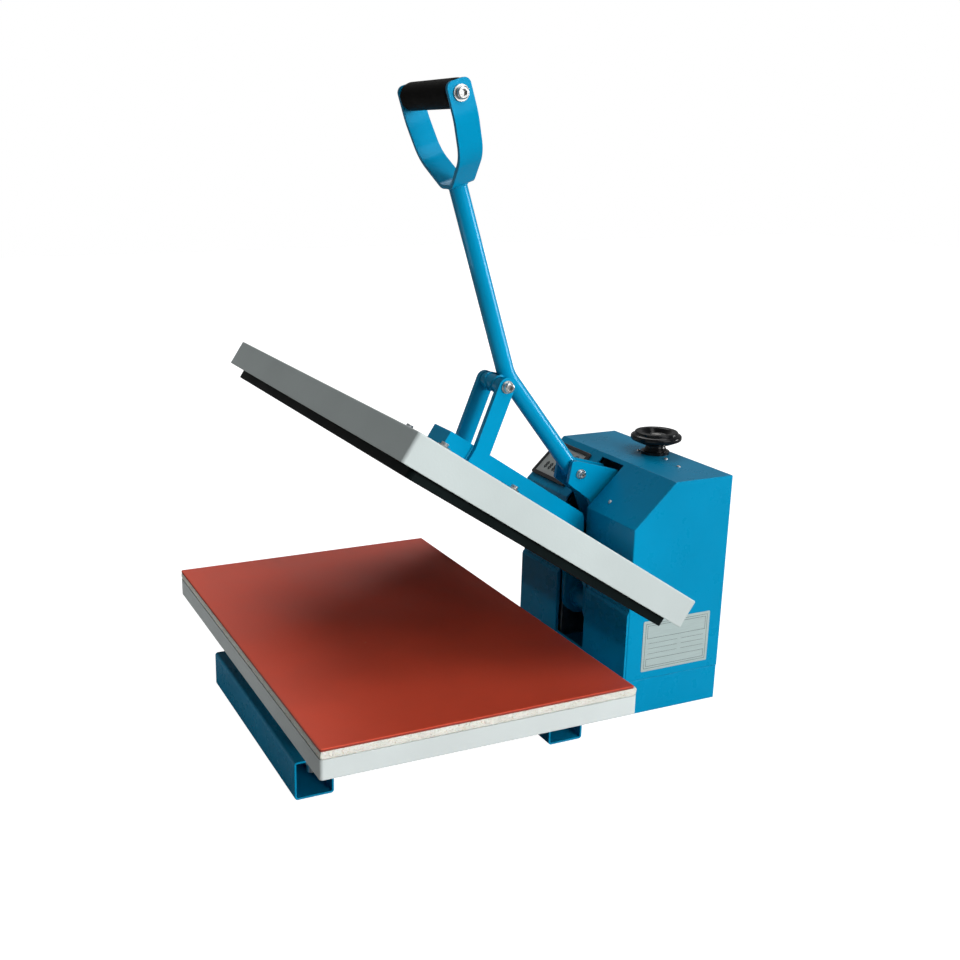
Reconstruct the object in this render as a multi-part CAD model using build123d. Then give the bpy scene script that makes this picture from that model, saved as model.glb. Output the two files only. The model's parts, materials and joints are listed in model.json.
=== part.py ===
from build123d import *
import math
import os

# Flat clamshell heat press, 400 x 600 mm platens, drawn open as it stands ready to load.
# Millimetres. +X is the operator's right, +Y points from the operator to the rear housing,
# +Z is up, and the origin is the middle of the footprint, on the floor.

# Lower platen
platen_length = 600.0
platen_depth = 400.0
mat_thick = 3.0
pad_thick = 10.0
pad_side_overhang = 1.0
pad_front_overhang = 1.0
pad_rear_overhang = 5.0
tray_thick = 24.0
tray_rear_overhang = 4.0
tray_edge_radius = 4.0
tray_sheet = 3.0
rail_width = 60.0
rail_sheet = 3.0
rail_inset = 6.0
mat_top = 134.4

# Base frame of square steel tube
tube_side = 50.0
tube_wall = 2.5
tube_corner = 4.0
cross_tube_length = 344.0
front_tube_setback = 39.4
rear_tube_setback = 10.9
spine_width = 80.0
stud_inset = 12.0
stud_radius = 5.0
stud_nut_radius = 8.5
stud_nut_thick = 8.0
stud_tail = 22.0

# Rear housing
housing_gap = 100.6
housing_width = 282.0
housing_depth = 153.4
housing_top = 327.0
housing_fold_height = 267.8
housing_fold_run = 61.7
sheet = 2.0
base_box_wall = 3.0
seam_relief = 1.0
edge_radius = 1.5
slant_slot_width = 54.0
slant_slot_end = 7.0
front_slot_width = 74.0
front_slot_bottom = 58.0
front_slot_shoulder = 215.0
apron_top = 152.0
apron_top_bevel = 4.5
apron_thick = 3.0
apron_margin = 0.5
vent_count = 6
vent_pitch = 12.0
vent_length = 60.0
vent_width = 4.0

# Upper head, sized in its closed position
closed_gap = 0.5
cover_side_overhang = 8.0
cover_end_overhang = 19.3
cover_height = 36.0
cover_sheet = 2.0
cover_corner = 4.0
heater_thick = 18.0
heater_proud = 11.5
heater_corner = 8.0
insulation_thick = 18.0
open_angle = 33.35

# Swing arms: a pair of plates with an upright, a beam on the cover and a swan neck
arm_spacing = 48.0
arm_thick = 8.0
arm_pivot_ahead = 323.7
arm_pivot_rise = 119.8
arm_half_width = 12.0
arm_foot_ahead = 305.5
beam_height = 32.8
beam_front_ahead = 317.0
beam_rear_margin = 0.5
beam_rear_drop = 19.3
beam_rear_run = 14.4
beam_corner_radius = 12.0
carrier_front_ahead = 358.0
carrier_rear_ahead = 135.0
carrier_wall = 3.0
neck_rear_ahead = 38.0
neck_front_ahead = 73.0
neck_cover_clearance = 2.0
neck_bend_rise = 107.0
neck_entry_ahead = 14.0
neck_entry_rise = 75.0
neck_throat_rise = 35.0
neck_lip_ahead = 34.0
neck_lip_rise = 48.0
neck_chin_rise = 75.0
neck_inner_radius = 10.0
neck_outer_radius = 16.0
neck_chin_radius = 6.0
hinge_inset = 30.4
hinge_height = 115.0
hinge_boss_radius = 28.0
hinge_tube_radius = 17.0
hinge_pin_radius = 9.0
hinge_collar_rim = 4.0
hinge_collar_thick = 8.0
running_clearance = 0.05
head_bolt_front_ahead = 373.0
head_bolt_rear_ahead = 249.0
head_bolt_outset = 22.0
head_bolt_radius = 5.0
head_washer_radius = 10.0
head_washer_thick = 2.0
head_nut_radius = 8.5
head_nut_thick = 9.0
head_bolt_tail = 4.0
insulation_inset = 10.0
arm_bolt_radius = 6.0
arm_washer_radius = 8.5
arm_head_radius = 7.0
arm_head_height = 7.0

# Handle
handle_radius = 12.0
handle_wall = 2.5
handle_bend_radius = 60.0
bend_ahead = 151.5
bend_height = 458.6
handle_top_ahead = 230.0
handle_top_height = 705.0
link_pivot_ahead = 40.0
link_pivot_height = 315.0
sleeve_radius = 11.0
sleeve_end_gap = 0.5
lower_bush_radius = 12.0
strap_span = 137.0
strap_width = 32.0
strap_thick = 5.0
strap_reach = 112.0
strap_spread_height = 84.0
strap_shoulder_half = 57.5
strap_spread_radius = 70.0
strap_shoulder = 38.0
strap_foot_half = 14.0
strap_shoulder_radius = 48.0
strap_foot_radius = 16.0
strap_top_corner = 9.0
grip_radius = 17.5
grip_bolt_radius = 5.0
grip_washer_radius = 10.0
grip_washer_thick = 2.0
grip_head_radius = 7.5
grip_head_height = 6.0
grip_end_gap = 0.2
socket_share = 0.6

# Link between the handle and the curved guide inside the housing
link_spacing = 28.0
link_thick = 6.0
ear_corner_radius = 3.0
link_bolt_radius = 5.0
link_washer_radius = 7.1
link_head_radius = 6.0
link_head_height = 4.0
guide_behind = 74.0
guide_closed_height = 276.0
link_tail_radius = 14.0
rear_pin_radius = 8.0
guide_clearance = 1.6
spacer_radius = 7.0

# Frame plates inside the housing
cheek_side_gap = 1.0
cheek_thick = 6.0
cheek_front_inset = 5.4
cheek_rear_inset = 8.0
cheek_top_inset = 9.0
cheek_foot = 24.0
bridge_thick = 6.0

# Pressure knob, screw and block
knob_behind = 98.0
knob_radius = 36.0
knob_rim_height = 17.5
knob_rim_roll = 3.0
knob_under_radius = 23.0
knob_lip_low = 6.0
knob_lip_high = 12.0
knob_crown_radius = 30.5
knob_crown_rise = 3.5
knob_stem_radius = 17.0
knob_neck_radius = 13.2
knob_flare_rise = 5.0
knob_flare_radius = 12.0
knob_stem_height = 11.0
knob_dish_radius = 22.0
flange_radius = 20.0
flange_thick = 4.0
screw_radius = 7.0
screw_end_gap = 2.0
block_thick = 10.0
block_depth = 50.0
block_rear = 12.0
block_gap = 2.0
block_side_gap = 0.3
block_travel = 8.0
block_foot_width = 9.0
screw_pitch = 2.0

# Controller on the slanted face
controller_width = 92.0
controller_height = 63.0
controller_centre = -93.5
bezel_rim = 5.5
bezel_thick = 4.0
face_recess = 1.5
display_width = 60.0
display_height = 24.0
display_drop = 9.0
button_count = 4
button_radius = 4.0
button_pitch = 16.0
button_rise = 16.0
button_proud = 1.5
button_clearance = 0.3
controller_box_depth = 34.0

# Switch and inlet on the far side
switch_behind = 61.0
switch_height = 104.0
switch_width = 22.0
switch_length = 30.0
switch_proud = 2.0
rocker_clearance = 0.4
inlet_drop = 38.0
inlet_radius = 11.0

# Derived layout. Sizes named "ahead" and "behind" are measured from the head's hinge.
cover_length = platen_length + 2 * cover_side_overhang
cover_depth = platen_depth + 2 * cover_end_overhang
front_reach = platen_depth / 2 + pad_front_overhang
housing_front_back = platen_depth / 2 + housing_gap
rear_reach = housing_front_back + max(housing_depth, hinge_inset + knob_behind + knob_radius)
platen_y = (front_reach - rear_reach) / 2


def at(back):
    """Row-frame Y of a distance behind the middle of the lower platen."""
    return platen_y + back


housing_front = at(housing_front_back)
housing_rear = housing_front + housing_depth
fold_y = housing_front + housing_fold_run
slant_angle = math.atan2(housing_top - housing_fold_height, housing_fold_run)
slant_length = math.hypot(housing_top - housing_fold_height, housing_fold_run)
pad_top = mat_top - mat_thick
tray_top = pad_top - pad_thick
tray_bottom = tray_top - tray_thick
hinge_y = housing_front + hinge_inset
knob_y = hinge_y + knob_behind
arm_inner = arm_spacing / 2
arm_outer = arm_inner + arm_thick
cheek_inner = arm_outer + cheek_side_gap
cheek_outer = cheek_inner + cheek_thick
heater_face = mat_top + closed_gap
cover_bottom = heater_face + heater_proud
cover_top = cover_bottom + cover_height
hinge_axis = Axis((0, hinge_y, hinge_height), (1, 0, 0))
parts = {}


def keep(name, shape):
    parts[name] = shape
    return shape


def opened(shape):
    """Turn a piece of the head from its closed place to the open rest pose."""
    return shape.rotate(hinge_axis, -open_angle)


def turn(point, pivot, degrees):
    angle = math.radians(degrees)
    dy = point[0] - pivot[0]
    dz = point[1] - pivot[1]
    return (
        pivot[0] + dy * math.cos(angle) - dz * math.sin(angle),
        pivot[1] + dy * math.sin(angle) + dz * math.cos(angle),
    )


def outline(points):
    """Side profile from (y, z) points, always counter-clockwise."""
    ends = points[1:] + points[:1]
    area = sum(a[0] * b[1] - b[0] * a[1] for a, b in zip(points, ends))
    return Polygon(*(points if area > 0 else points[::-1]), align=None)


def disc(point, radius):
    return Pos(point[0], point[1]) * Circle(radius)


def rounded(profile, *corners):
    """Round the corners of a side profile that lie at the given ((y, z), radius) places."""
    for point, radius in corners:
        spot = Vector(point[0], point[1])
        nearest = min(profile.vertices(), key=lambda v: (v.center() - spot).length)
        profile = fillet(nearest, radius)
    return profile


def plate(profile, x_low, x_high):
    """Give a side profile a thickness from x_low to x_high."""
    return Pos(x_low, 0, 0) * extrude(Plane.YZ * profile, x_high - x_low, dir=(1, 0, 0))


def swung(profile, pivot, degrees):
    """Turn a side profile about a (y, z) pivot."""
    spot = Pos(pivot[0], pivot[1])
    return spot * Rot(0, 0, degrees) * spot.inverse() * profile


def rod(point, radius, x_low, x_high):
    return plate(disc(point, radius), x_low, x_high)


def block(x_size, y_low, y_high, z_low, z_high, x_mid=0.0):
    centre = Pos(x_mid, (y_low + y_high) / 2, (z_low + z_high) / 2)
    return centre * Box(x_size, y_high - y_low, z_high - z_low)


def capsule(start, end, radius):
    """Face of a round-ended bar between two (y, z) points."""
    length = math.hypot(end[0] - start[0], end[1] - start[1])
    side = ((end[1] - start[1]) / length * radius, -(end[0] - start[0]) / length * radius)
    bar = outline([
        (start[0] + side[0], start[1] + side[1]),
        (end[0] + side[0], end[1] + side[1]),
        (end[0] - side[0], end[1] - side[1]),
        (start[0] - side[0], start[1] - side[1]),
    ])
    return bar + disc(start, radius) + disc(end, radius)


# Pivot positions, open and closed
hinge = (hinge_y, hinge_height)
arm_pivot_closed = (hinge_y - arm_pivot_ahead, cover_top + arm_pivot_rise)
arm_pivot = turn(arm_pivot_closed, hinge, -open_angle)
link_pivot = (hinge_y - link_pivot_ahead, link_pivot_height)
guide_closed = (hinge_y + guide_behind, guide_closed_height)
lower_lever = math.dist(arm_pivot, link_pivot)
link_length = math.dist(arm_pivot_closed, guide_closed) - lower_lever
guide_drop = math.sqrt(link_length ** 2 - (guide_closed[0] - link_pivot[0]) ** 2)
guide_open = (guide_closed[0], link_pivot[1] - guide_drop)


def direction(start, end):
    return math.degrees(math.atan2(end[1] - start[1], end[0] - start[0]))


closed_line = direction(arm_pivot_closed, guide_closed)
handle_turn = closed_line - direction(arm_pivot, link_pivot)
link_turn = closed_line - direction(link_pivot, guide_open)
handle_ratio = (handle_turn - open_angle) / open_angle
link_ratio = (link_turn - handle_turn) / open_angle


def guide_point(share):
    """Place of the link's rear pin when the head has closed by a share of its travel."""
    head = open_angle * share
    handle = head * (1 + handle_ratio)
    link = handle + head * link_ratio
    pivot = turn(arm_pivot, hinge, head)
    reach = turn(link_pivot, arm_pivot, handle)
    front = (pivot[0] + reach[0] - arm_pivot[0], pivot[1] + reach[1] - arm_pivot[1])
    tail = turn(guide_open, link_pivot, link)
    return (front[0] + tail[0] - link_pivot[0], front[1] + tail[1] - link_pivot[1])


# Base frame
def square_tube(width, height, length, wall):
    """Tube along X, centred, with rounded corners."""
    outer = RectangleRounded(width, height, tube_corner)
    inner = RectangleRounded(width - 2 * wall, height - 2 * wall, tube_corner - wall)
    return Plane.YZ * extrude(outer - inner, length / 2, both=True)


front_tube_y = at(-platen_depth / 2 + front_tube_setback)
rear_tube_y = at(platen_depth / 2 - rear_tube_setback)
stud_x = cross_tube_length / 2 - stud_inset
tube_mid = tube_side / 2


def cross_tube(y_mid):
    tube = Pos(0, y_mid, tube_mid) * square_tube(tube_side, tube_side, cross_tube_length, tube_wall)
    for side in (-1, 1):
        tube -= Pos(side * stud_x, y_mid, tube_side) * Cylinder(stud_radius, 4 * tube_wall)
    return tube


keep("front_tube", cross_tube(front_tube_y))
keep("rear_tube", cross_tube(rear_tube_y))


def spine(y_low, y_high):
    outer = RectangleRounded(spine_width, tube_side, tube_corner)
    inner = RectangleRounded(
        spine_width - 2 * tube_wall, tube_side - 2 * tube_wall, tube_corner - tube_wall)
    profile = Plane.XZ * (outer - inner)
    return Pos(0, y_low, tube_mid) * extrude(profile, y_high - y_low, dir=(0, 1, 0))


keep("spine_front", spine(front_tube_y + tube_side / 2, rear_tube_y - tube_side / 2))
keep("spine_rear", spine(rear_tube_y + tube_side / 2, housing_front))

base_box = block(housing_width, housing_front, housing_rear, 0, tube_side)
base_box = fillet(base_box.edges().filter_by(Axis.Z), edge_radius)
base_box = chamfer(base_box.faces().sort_by(Axis.Z)[-1].edges(), seam_relief)
base_box -= block(
    housing_width - 2 * base_box_wall,
    housing_front + base_box_wall,
    housing_rear - base_box_wall,
    -1,
    tube_side - base_box_wall,
)
keep("rear_base", base_box)

# Lower platen: steel tray, foam pad and silicone mat
mat = block(platen_length, at(-platen_depth / 2), at(platen_depth / 2), pad_top, mat_top)
keep("mat", fillet(mat.edges().filter_by(Axis.Z), 3))
pad = block(
    platen_length + 2 * pad_side_overhang,
    at(-front_reach),
    at(platen_depth / 2 + pad_rear_overhang),
    tray_top,
    pad_top,
)
keep("pad", fillet(pad.edges().filter_by(Axis.Z), 2))
tray = block(
    platen_length,
    at(-platen_depth / 2),
    at(platen_depth / 2 + tray_rear_overhang),
    tray_bottom,
    tray_top,
)
tray = fillet(tray.edges().filter_by(Axis.Z), tray_edge_radius)
tray_hollow = block(
    platen_length - 2 * tray_sheet,
    at(-platen_depth / 2) + tray_sheet,
    at(platen_depth / 2 + tray_rear_overhang) - tray_sheet,
    tray_bottom - 1,
    tray_top - tray_sheet,
)
tray -= fillet(tray_hollow.edges().filter_by(Axis.Z), tray_edge_radius - tray_sheet)
keep("tray", tray)

rail_top = tray_top - tray_sheet
rail_length = platen_length - 2 * tray_sheet - 2 * rail_inset
for y_name, y_mid in (("front", front_tube_y), ("rear", rear_tube_y)):
    y_low = max(y_mid - rail_width / 2, at(-platen_depth / 2) + tray_sheet)
    y_high = min(y_mid + rail_width / 2, at(platen_depth / 2 + tray_rear_overhang) - tray_sheet)
    rail = block(rail_length, y_low, y_high, tray_bottom, rail_top)
    rail -= block(
        rail_length + 2, y_low + rail_sheet, y_high - rail_sheet,
        tray_bottom + rail_sheet, rail_top + 1)
    for side in (-1, 1):
        rail -= Pos(side * stud_x, y_mid, tray_bottom) * Cylinder(stud_radius, 4 * rail_sheet)
    keep(f"tray_rail_{y_name}", rail)

stud_bottom = tube_side - stud_tail
for y_name, y_mid in (("front", front_tube_y), ("rear", rear_tube_y)):
    for x_name, side in (("left", -1), ("right", 1)):
        spot = Pos(side * stud_x, y_mid, 0)
        stud_top = tray_bottom + rail_sheet + stud_nut_thick + stud_nut_thick / 2
        stud = Pos(0, 0, (stud_bottom + stud_top) / 2) * Cylinder(
            stud_radius - running_clearance, stud_top - stud_bottom)
        stud += Pos(0, 0, tray_bottom + rail_sheet) * extrude(
            RegularPolygon(stud_nut_radius, 6), stud_nut_thick)
        stud += Pos(0, 0, tube_side + stud_nut_thick / 2) * extrude(
            RegularPolygon(stud_nut_radius, 6), stud_nut_thick / 2, both=True)
        under = tube_side - tube_wall - stud_nut_thick / 2
        stud += Pos(0, 0, under) * extrude(
            RegularPolygon(stud_nut_radius, 6), stud_nut_thick / 2, both=True)
        stud += Pos(0, 0, tray_bottom - stud_nut_thick / 4) * Cylinder(
            2 * stud_nut_radius, stud_nut_thick / 2)
        keep(f"platen_stud_{y_name}_{x_name}", spot * stud)

# Rear housing, folded from sheet
housing_profile = [
    (housing_front, tube_side),
    (housing_front, housing_fold_height),
    (fold_y, housing_top),
    (housing_rear, housing_top),
    (housing_rear, tube_side),
]
fold_inset = sheet * math.tan(math.radians(90) / 2 - slant_angle / 2)
top_inset = sheet * math.tan(slant_angle / 2)
inner_profile = [
    (housing_front + sheet, tube_side - 1),
    (housing_front + sheet, housing_fold_height - fold_inset),
    (fold_y + top_inset, housing_top - sheet),
    (housing_rear + 1, housing_top - sheet),
    (housing_rear + 1, tube_side - 1),
]
shell = plate(outline(housing_profile), -housing_width / 2, housing_width / 2)
front_edges = shell.edges().filter_by(
    lambda e: abs(abs(e.center().X) - housing_width / 2) < 0.01
    and e.center().Z > tube_side + 1
    and e.center().Y < housing_rear - 1)
shell = fillet(front_edges, edge_radius)
shell -= plate(
    outline(inner_profile), -housing_width / 2 + sheet, housing_width / 2 - sheet)

slant = Plane(
    origin=(0, (housing_front + fold_y) / 2, (housing_fold_height + housing_top) / 2),
    x_dir=(1, 0, 0),
    z_dir=(0, -math.sin(slant_angle), math.cos(slant_angle)),
)
slot_high = slant_length / 2 - slant_slot_end
slot_low = -slant_length / 2 - 2 * sheet
slant_slot = slant * Pos(0, (slot_high + slot_low) / 2, 0) * Box(
    slant_slot_width, slot_high - slot_low, 6 * sheet)
front_slot = block(
    front_slot_width,
    housing_front - 2 * sheet,
    housing_front + 2 * sheet,
    front_slot_bottom,
    front_slot_shoulder,
)
shell -= front_slot
shell -= block(
    slant_slot_width,
    housing_front - 2 * sheet,
    housing_front + 2 * sheet,
    front_slot_shoulder - 1,
    housing_fold_height + sheet,
)
shell -= slant_slot
controller_hole = slant * Pos(controller_centre, 0, 0) * Box(
    controller_width - 2 * bezel_rim, controller_height - 2 * bezel_rim, 6 * sheet)
shell -= controller_hole
shell -= Pos(0, knob_y, housing_top) * Cylinder(screw_radius + 2, 6 * sheet)
switch_spot = Pos(-housing_width / 2, hinge_y + switch_behind, switch_height)
switch_cut = switch_spot * Box(6 * sheet, switch_width, switch_length)
shell -= switch_cut
inlet_spot = Pos(-housing_width / 2, hinge_y + switch_behind, switch_height - inlet_drop)
shell -= inlet_spot * Rot(0, 90, 0) * Cylinder(inlet_radius - 3, 6 * sheet)
keep("housing_shell", shell)

rear_panel = block(
    housing_width - 2 * sheet, housing_rear - sheet, housing_rear, tube_side, housing_top - sheet)
for index in range(vent_count):
    height = (housing_top + tube_side) / 2 + (index - (vent_count - 1) / 2) * vent_pitch
    for side in (-1, 1):
        slot = Pos(side * vent_length, housing_rear, height) * Rot(90, 0, 0)
        rear_panel -= slot * extrude(SlotOverall(vent_length, vent_width), 2 * sheet, both=True)
keep("rear_panel", rear_panel)

apron_low = tube_side
apron_half = housing_width / 2 - apron_margin
for x_name, side in (("left", -1), ("right", 1)):
    width = apron_half - front_slot_width / 2
    apron = block(
        width,
        housing_front - apron_thick,
        housing_front,
        apron_low,
        apron_top,
        side * (apron_half + front_slot_width / 2) / 2,
    )
    outer_edges = apron.edges().filter_by(
        lambda e: e.center().Y < housing_front - apron_thick + 0.01)
    top_edge = outer_edges.sort_by(Axis.Z)[-1]
    outer_face = apron.faces().sort_by(Axis.Y)[0]
    apron = chamfer(top_edge, apron_top_bevel, apron_thick - 0.8, reference=outer_face)
    slot_edge = apron.edges().filter_by(Axis.Z).filter_by(
        lambda e: e.center().Y < housing_front - apron_thick + 0.01
        and abs(abs(e.center().X) - front_slot_width / 2) < 0.01)
    keep(f"apron_{x_name}", chamfer(slot_edge, apron_thick / 3))

# Frame plates that carry the hinge pin and guide the link
cheek_front = housing_front + cheek_front_inset
cheek_rear = housing_rear - cheek_rear_inset
cheek_top = housing_top - cheek_top_inset
slant_offset = cheek_front_inset / math.cos(math.radians(45))


def slant_height(y):
    """Height of the slanted face's outside above a Y position."""
    return housing_fold_height + (y - housing_front) * math.tan(slant_angle)


cheek_knee = fold_y + (cheek_top - housing_top) / math.tan(slant_angle) + 2 * slant_offset
cheek_profile = [
    (cheek_front, tube_side),
    (cheek_front, slant_height(cheek_front) - 2 * slant_offset),
    (cheek_knee, cheek_top),
    (cheek_rear, cheek_top),
    (cheek_rear, tube_side),
]
guide_path = ThreePointArc(
    *[Vector(0, *guide_point(share)) for share in (0.0, 0.5, 1.0)])
guide_start = Plane(origin=guide_path @ 0, z_dir=guide_path % 0, x_dir=(1, 0, 0))
guide_half = rear_pin_radius + guide_clearance
for x_name, side in (("left", -1), ("right", 1)):
    low, high = sorted((side * cheek_inner, side * cheek_outer))
    cheek = plate(outline(cheek_profile), low, high)
    cheek += block(
        cheek_foot, cheek_front, cheek_rear, tube_side, tube_side + cheek_thick,
        side * (cheek_inner + cheek_foot / 2))
    cheek -= rod(hinge, hinge_pin_radius, low - 1, high + 1)
    groove = sweep(guide_start * Rectangle(4 * cheek_outer, 2 * guide_half), path=guide_path)
    cheek -= groove
    for share in (0.0, 1.0):
        cheek -= rod(guide_point(share), guide_half, low - 1, high + 1)
    keep(f"frame_plate_{x_name}", cheek)

hinge_pin = rod(hinge, hinge_pin_radius, -cheek_outer - 1, cheek_outer + 1)
for side in (-1, 1):
    low, high = sorted((side * cheek_outer, side * (cheek_outer + hinge_collar_thick)))
    hinge_pin += rod(hinge, hinge_pin_radius + hinge_collar_rim, low, high)
keep("hinge_pin", hinge_pin)

bridge = block(
    2 * cheek_inner, knob_y - block_depth / 2, cheek_rear,
    cheek_top - bridge_thick, cheek_top)
bridge -= Pos(0, knob_y, cheek_top) * Cylinder(
    screw_radius + running_clearance, 4 * bridge_thick)
keep("screw_bridge", bridge)

flange = Pos(0, knob_y, housing_top + flange_thick / 2) * (
    Cylinder(flange_radius, flange_thick)
    - Cylinder(screw_radius + running_clearance, 2 * flange_thick))
keep("knob_flange", flange)

# Controller
bezel_outer = extrude(RectangleRounded(controller_width, controller_height, 3), bezel_thick)
bezel_hole = Box(
    controller_width - 2 * bezel_rim, controller_height - 2 * bezel_rim, 4 * bezel_thick)
bezel = fillet(bezel_outer.faces().sort_by(Axis.Z)[-1].edges(), 1.2) - bezel_hole
panel = slant * Pos(controller_centre, 0, 0)
keep("controller_bezel", panel * bezel)
face_low = -sheet
face_high = bezel_thick - face_recess
face = Pos(0, 0, (face_low + face_high) / 2) * Box(
    controller_width - 2 * bezel_rim, controller_height - 2 * bezel_rim, face_high - face_low)
face -= Pos(0, -display_drop, face_high) * Box(display_width, display_height, 2)
for index in range(button_count):
    spot = Pos((index - (button_count - 1) / 2) * button_pitch, button_rise, 0)
    face -= spot * Cylinder(button_radius + button_clearance, 6 * bezel_thick)
    cap_height = face_high - face_low + button_proud
    cap = Cylinder(button_radius, cap_height)
    cap = fillet(cap.faces().sort_by(Axis.Z)[-1].edges(), 0.6)
    cap = Pos(0, 0, face_low + cap_height / 2) * cap
    keep(f"button_{index + 1}", panel * spot * cap)
keep("controller_face", panel * face)
display = Pos(0, -display_drop, face_high - 0.5) * Box(display_width, display_height, 1)
keep("display", panel * display)
box_width = controller_width - 2 * bezel_rim - 4
box_low = face_low - 3 - controller_box_depth
controller_box = Pos(0, 0, (box_low + face_low - 3) / 2) * Box(
    box_width, controller_height - 2 * bezel_rim - 12, controller_box_depth)
for side in (-1, 1):
    controller_box += Pos(side * (box_width / 2 - 2), 0, face_low - 2) * Box(4, 30, 4)
keep("controller_box", panel * controller_box)

# Power switch and cable inlet on the side away from the label
switch_outer = Box(2 * switch_proud, switch_width + 6, switch_length + 6)
switch_frame = Pos(-switch_proud, 0, 0) * switch_outer + Pos(6, 0, 0) * Box(
    12, switch_width, switch_length)
switch_frame -= Pos(-2, 0, 0) * Box(14, switch_width - 6, switch_length - 6)
keep("switch_frame", switch_spot * switch_frame)
rocker_half = (switch_length - 6) / 2 - rocker_clearance
rocker_profile = outline([
    (3, rocker_half), (-2.2, rocker_half), (-3.2, 0), (-5.5, -rocker_half), (3, -rocker_half)])
rocker_face = Plane.XZ * (rocker_profile & Circle(rocker_half))
rocker = extrude(rocker_face, (switch_width - 6) / 2 - rocker_clearance, both=True)
keep("rocker", switch_spot * rocker)
inlet = Rot(0, 90, 0) * (
    Pos(0, 0, -2.5) * Cylinder(inlet_radius, 5)
    + Pos(0, 0, 6) * Cylinder(inlet_radius - 3, 12)
    - Cylinder(4, 60))
keep("cable_inlet", inlet_spot * inlet)

# Upper head
cover = block(
    cover_length, at(-cover_depth / 2), at(cover_depth / 2), cover_bottom, cover_top)
cover = fillet(cover.edges().filter_by(Axis.Z), cover_corner)
cover = fillet(cover.faces().sort_by(Axis.Z)[-1].edges(), 1.5)
cover -= block(
    cover_length - 2 * cover_sheet,
    at(-cover_depth / 2 + cover_sheet),
    at(cover_depth / 2 - cover_sheet),
    cover_bottom - 1,
    cover_top - cover_sheet,
)
heater_top = heater_face + heater_thick
heater = block(
    platen_length, at(-platen_depth / 2), at(platen_depth / 2), heater_face, heater_top)
heater = fillet(heater.edges().filter_by(Axis.Z), heater_corner)
heater = fillet(heater.faces().sort_by(Axis.Z)[0].edges(), 1.5)
keep("heating_plate", opened(heater))
insulation = block(
    platen_length - 2 * insulation_inset,
    at(-platen_depth / 2 + insulation_inset),
    at(platen_depth / 2 - insulation_inset),
    heater_top,
    cover_top - cover_sheet,
)

bolt_x = arm_outer + head_bolt_outset
for y_name, ahead in (("front", head_bolt_front_ahead), ("rear", head_bolt_rear_ahead)):
    for x_name, side in (("left", -1), ("right", 1)):
        spot = Pos(side * bolt_x, hinge_y - ahead, 0)
        low = heater_top - head_nut_thick
        hole = spot * Pos(0, 0, (low + cover_top) / 2) * Cylinder(
            head_bolt_radius, cover_top - low)
        cover -= hole
        insulation -= hole
        nut_low = cover_top + head_washer_thick
        bolt_top = nut_low + head_nut_thick + head_bolt_tail
        bolt = Pos(0, 0, (heater_top + bolt_top) / 2) * Cylinder(
            head_bolt_radius, bolt_top - heater_top)
        bolt += Pos(0, 0, cover_top + head_washer_thick / 2) * Cylinder(
            head_washer_radius, head_washer_thick)
        bolt += Pos(0, 0, nut_low) * extrude(RegularPolygon(head_nut_radius, 6), head_nut_thick)
        keep(f"head_bolt_{y_name}_{x_name}", opened(spot * bolt))
keep("cover", opened(cover))
keep("insulation", opened(insulation))

beam_top = cover_top + beam_height
carrier_low = hinge_y - carrier_front_ahead
carrier_high = hinge_y - carrier_rear_ahead
carrier = block(arm_spacing, carrier_low, carrier_high, cover_top, beam_top)
carrier_edges = carrier.edges().filter_by(Axis.X).sort_by(Axis.Y)[0:2]
carrier = fillet(carrier_edges, 2)
carrier -= block(
    arm_spacing - 2 * carrier_wall,
    carrier_low + carrier_wall,
    carrier_high + 1,
    cover_top + carrier_wall,
    beam_top - carrier_wall,
)
keep("carrier_box", opened(carrier))

arm_foot = (hinge_y - arm_foot_ahead, beam_top)
beam_rear = at(cover_depth / 2 - beam_rear_margin)
beam_face = outline([
    (hinge_y - beam_front_ahead, cover_top),
    (hinge_y - beam_front_ahead, beam_top),
    (beam_rear, beam_top),
    (beam_rear + beam_rear_run, beam_top - beam_rear_drop),
    (beam_rear + beam_rear_run, cover_top),
])
beam_face = rounded(
    beam_face,
    ((beam_rear, beam_top), beam_corner_radius),
    ((beam_rear + beam_rear_run, beam_top - beam_rear_drop), beam_corner_radius),
)
arm_face = capsule(arm_foot, arm_pivot_closed, arm_half_width)
arm_face -= outline([
    (arm_foot[0] - beam_height, cover_top - beam_height),
    (arm_foot[0] + beam_height, cover_top - beam_height),
    (arm_foot[0] + beam_height, cover_top),
    (arm_foot[0] - beam_height, cover_top),
])
swing_closed = swung(beam_face + arm_face, hinge, -open_angle)
cover_heel_top = turn((at(cover_depth / 2), cover_top), hinge, -open_angle)
cover_heel_low = turn((at(cover_depth / 2), cover_bottom), hinge, -open_angle)
neck_rear_y = hinge_y - neck_rear_ahead
neck_front_y = hinge_y - neck_front_ahead
beam_corner = turn((beam_rear + beam_rear_run, beam_top - beam_rear_drop), hinge, -open_angle)
neck_face = outline([
    (cover_heel_top[0] + neck_cover_clearance, cover_heel_top[1] + 8),
    (neck_rear_y, beam_corner[1] + 4),
    (neck_rear_y, hinge_height + neck_bend_rise),
    (hinge_y - neck_entry_ahead, hinge_height + neck_entry_rise),
    (hinge_y + hinge_boss_radius, hinge_height),
    (hinge_y - hinge_boss_radius, hinge_height),
    (hinge_y - hinge_boss_radius, hinge_height + neck_throat_rise),
    (hinge_y - neck_lip_ahead, hinge_height + neck_lip_rise),
    (neck_front_y, hinge_height + neck_chin_rise),
    (neck_front_y, cover_heel_low[1] + 2),
    (cover_heel_top[0] + neck_cover_clearance, cover_heel_top[1] + 1),
])
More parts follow.
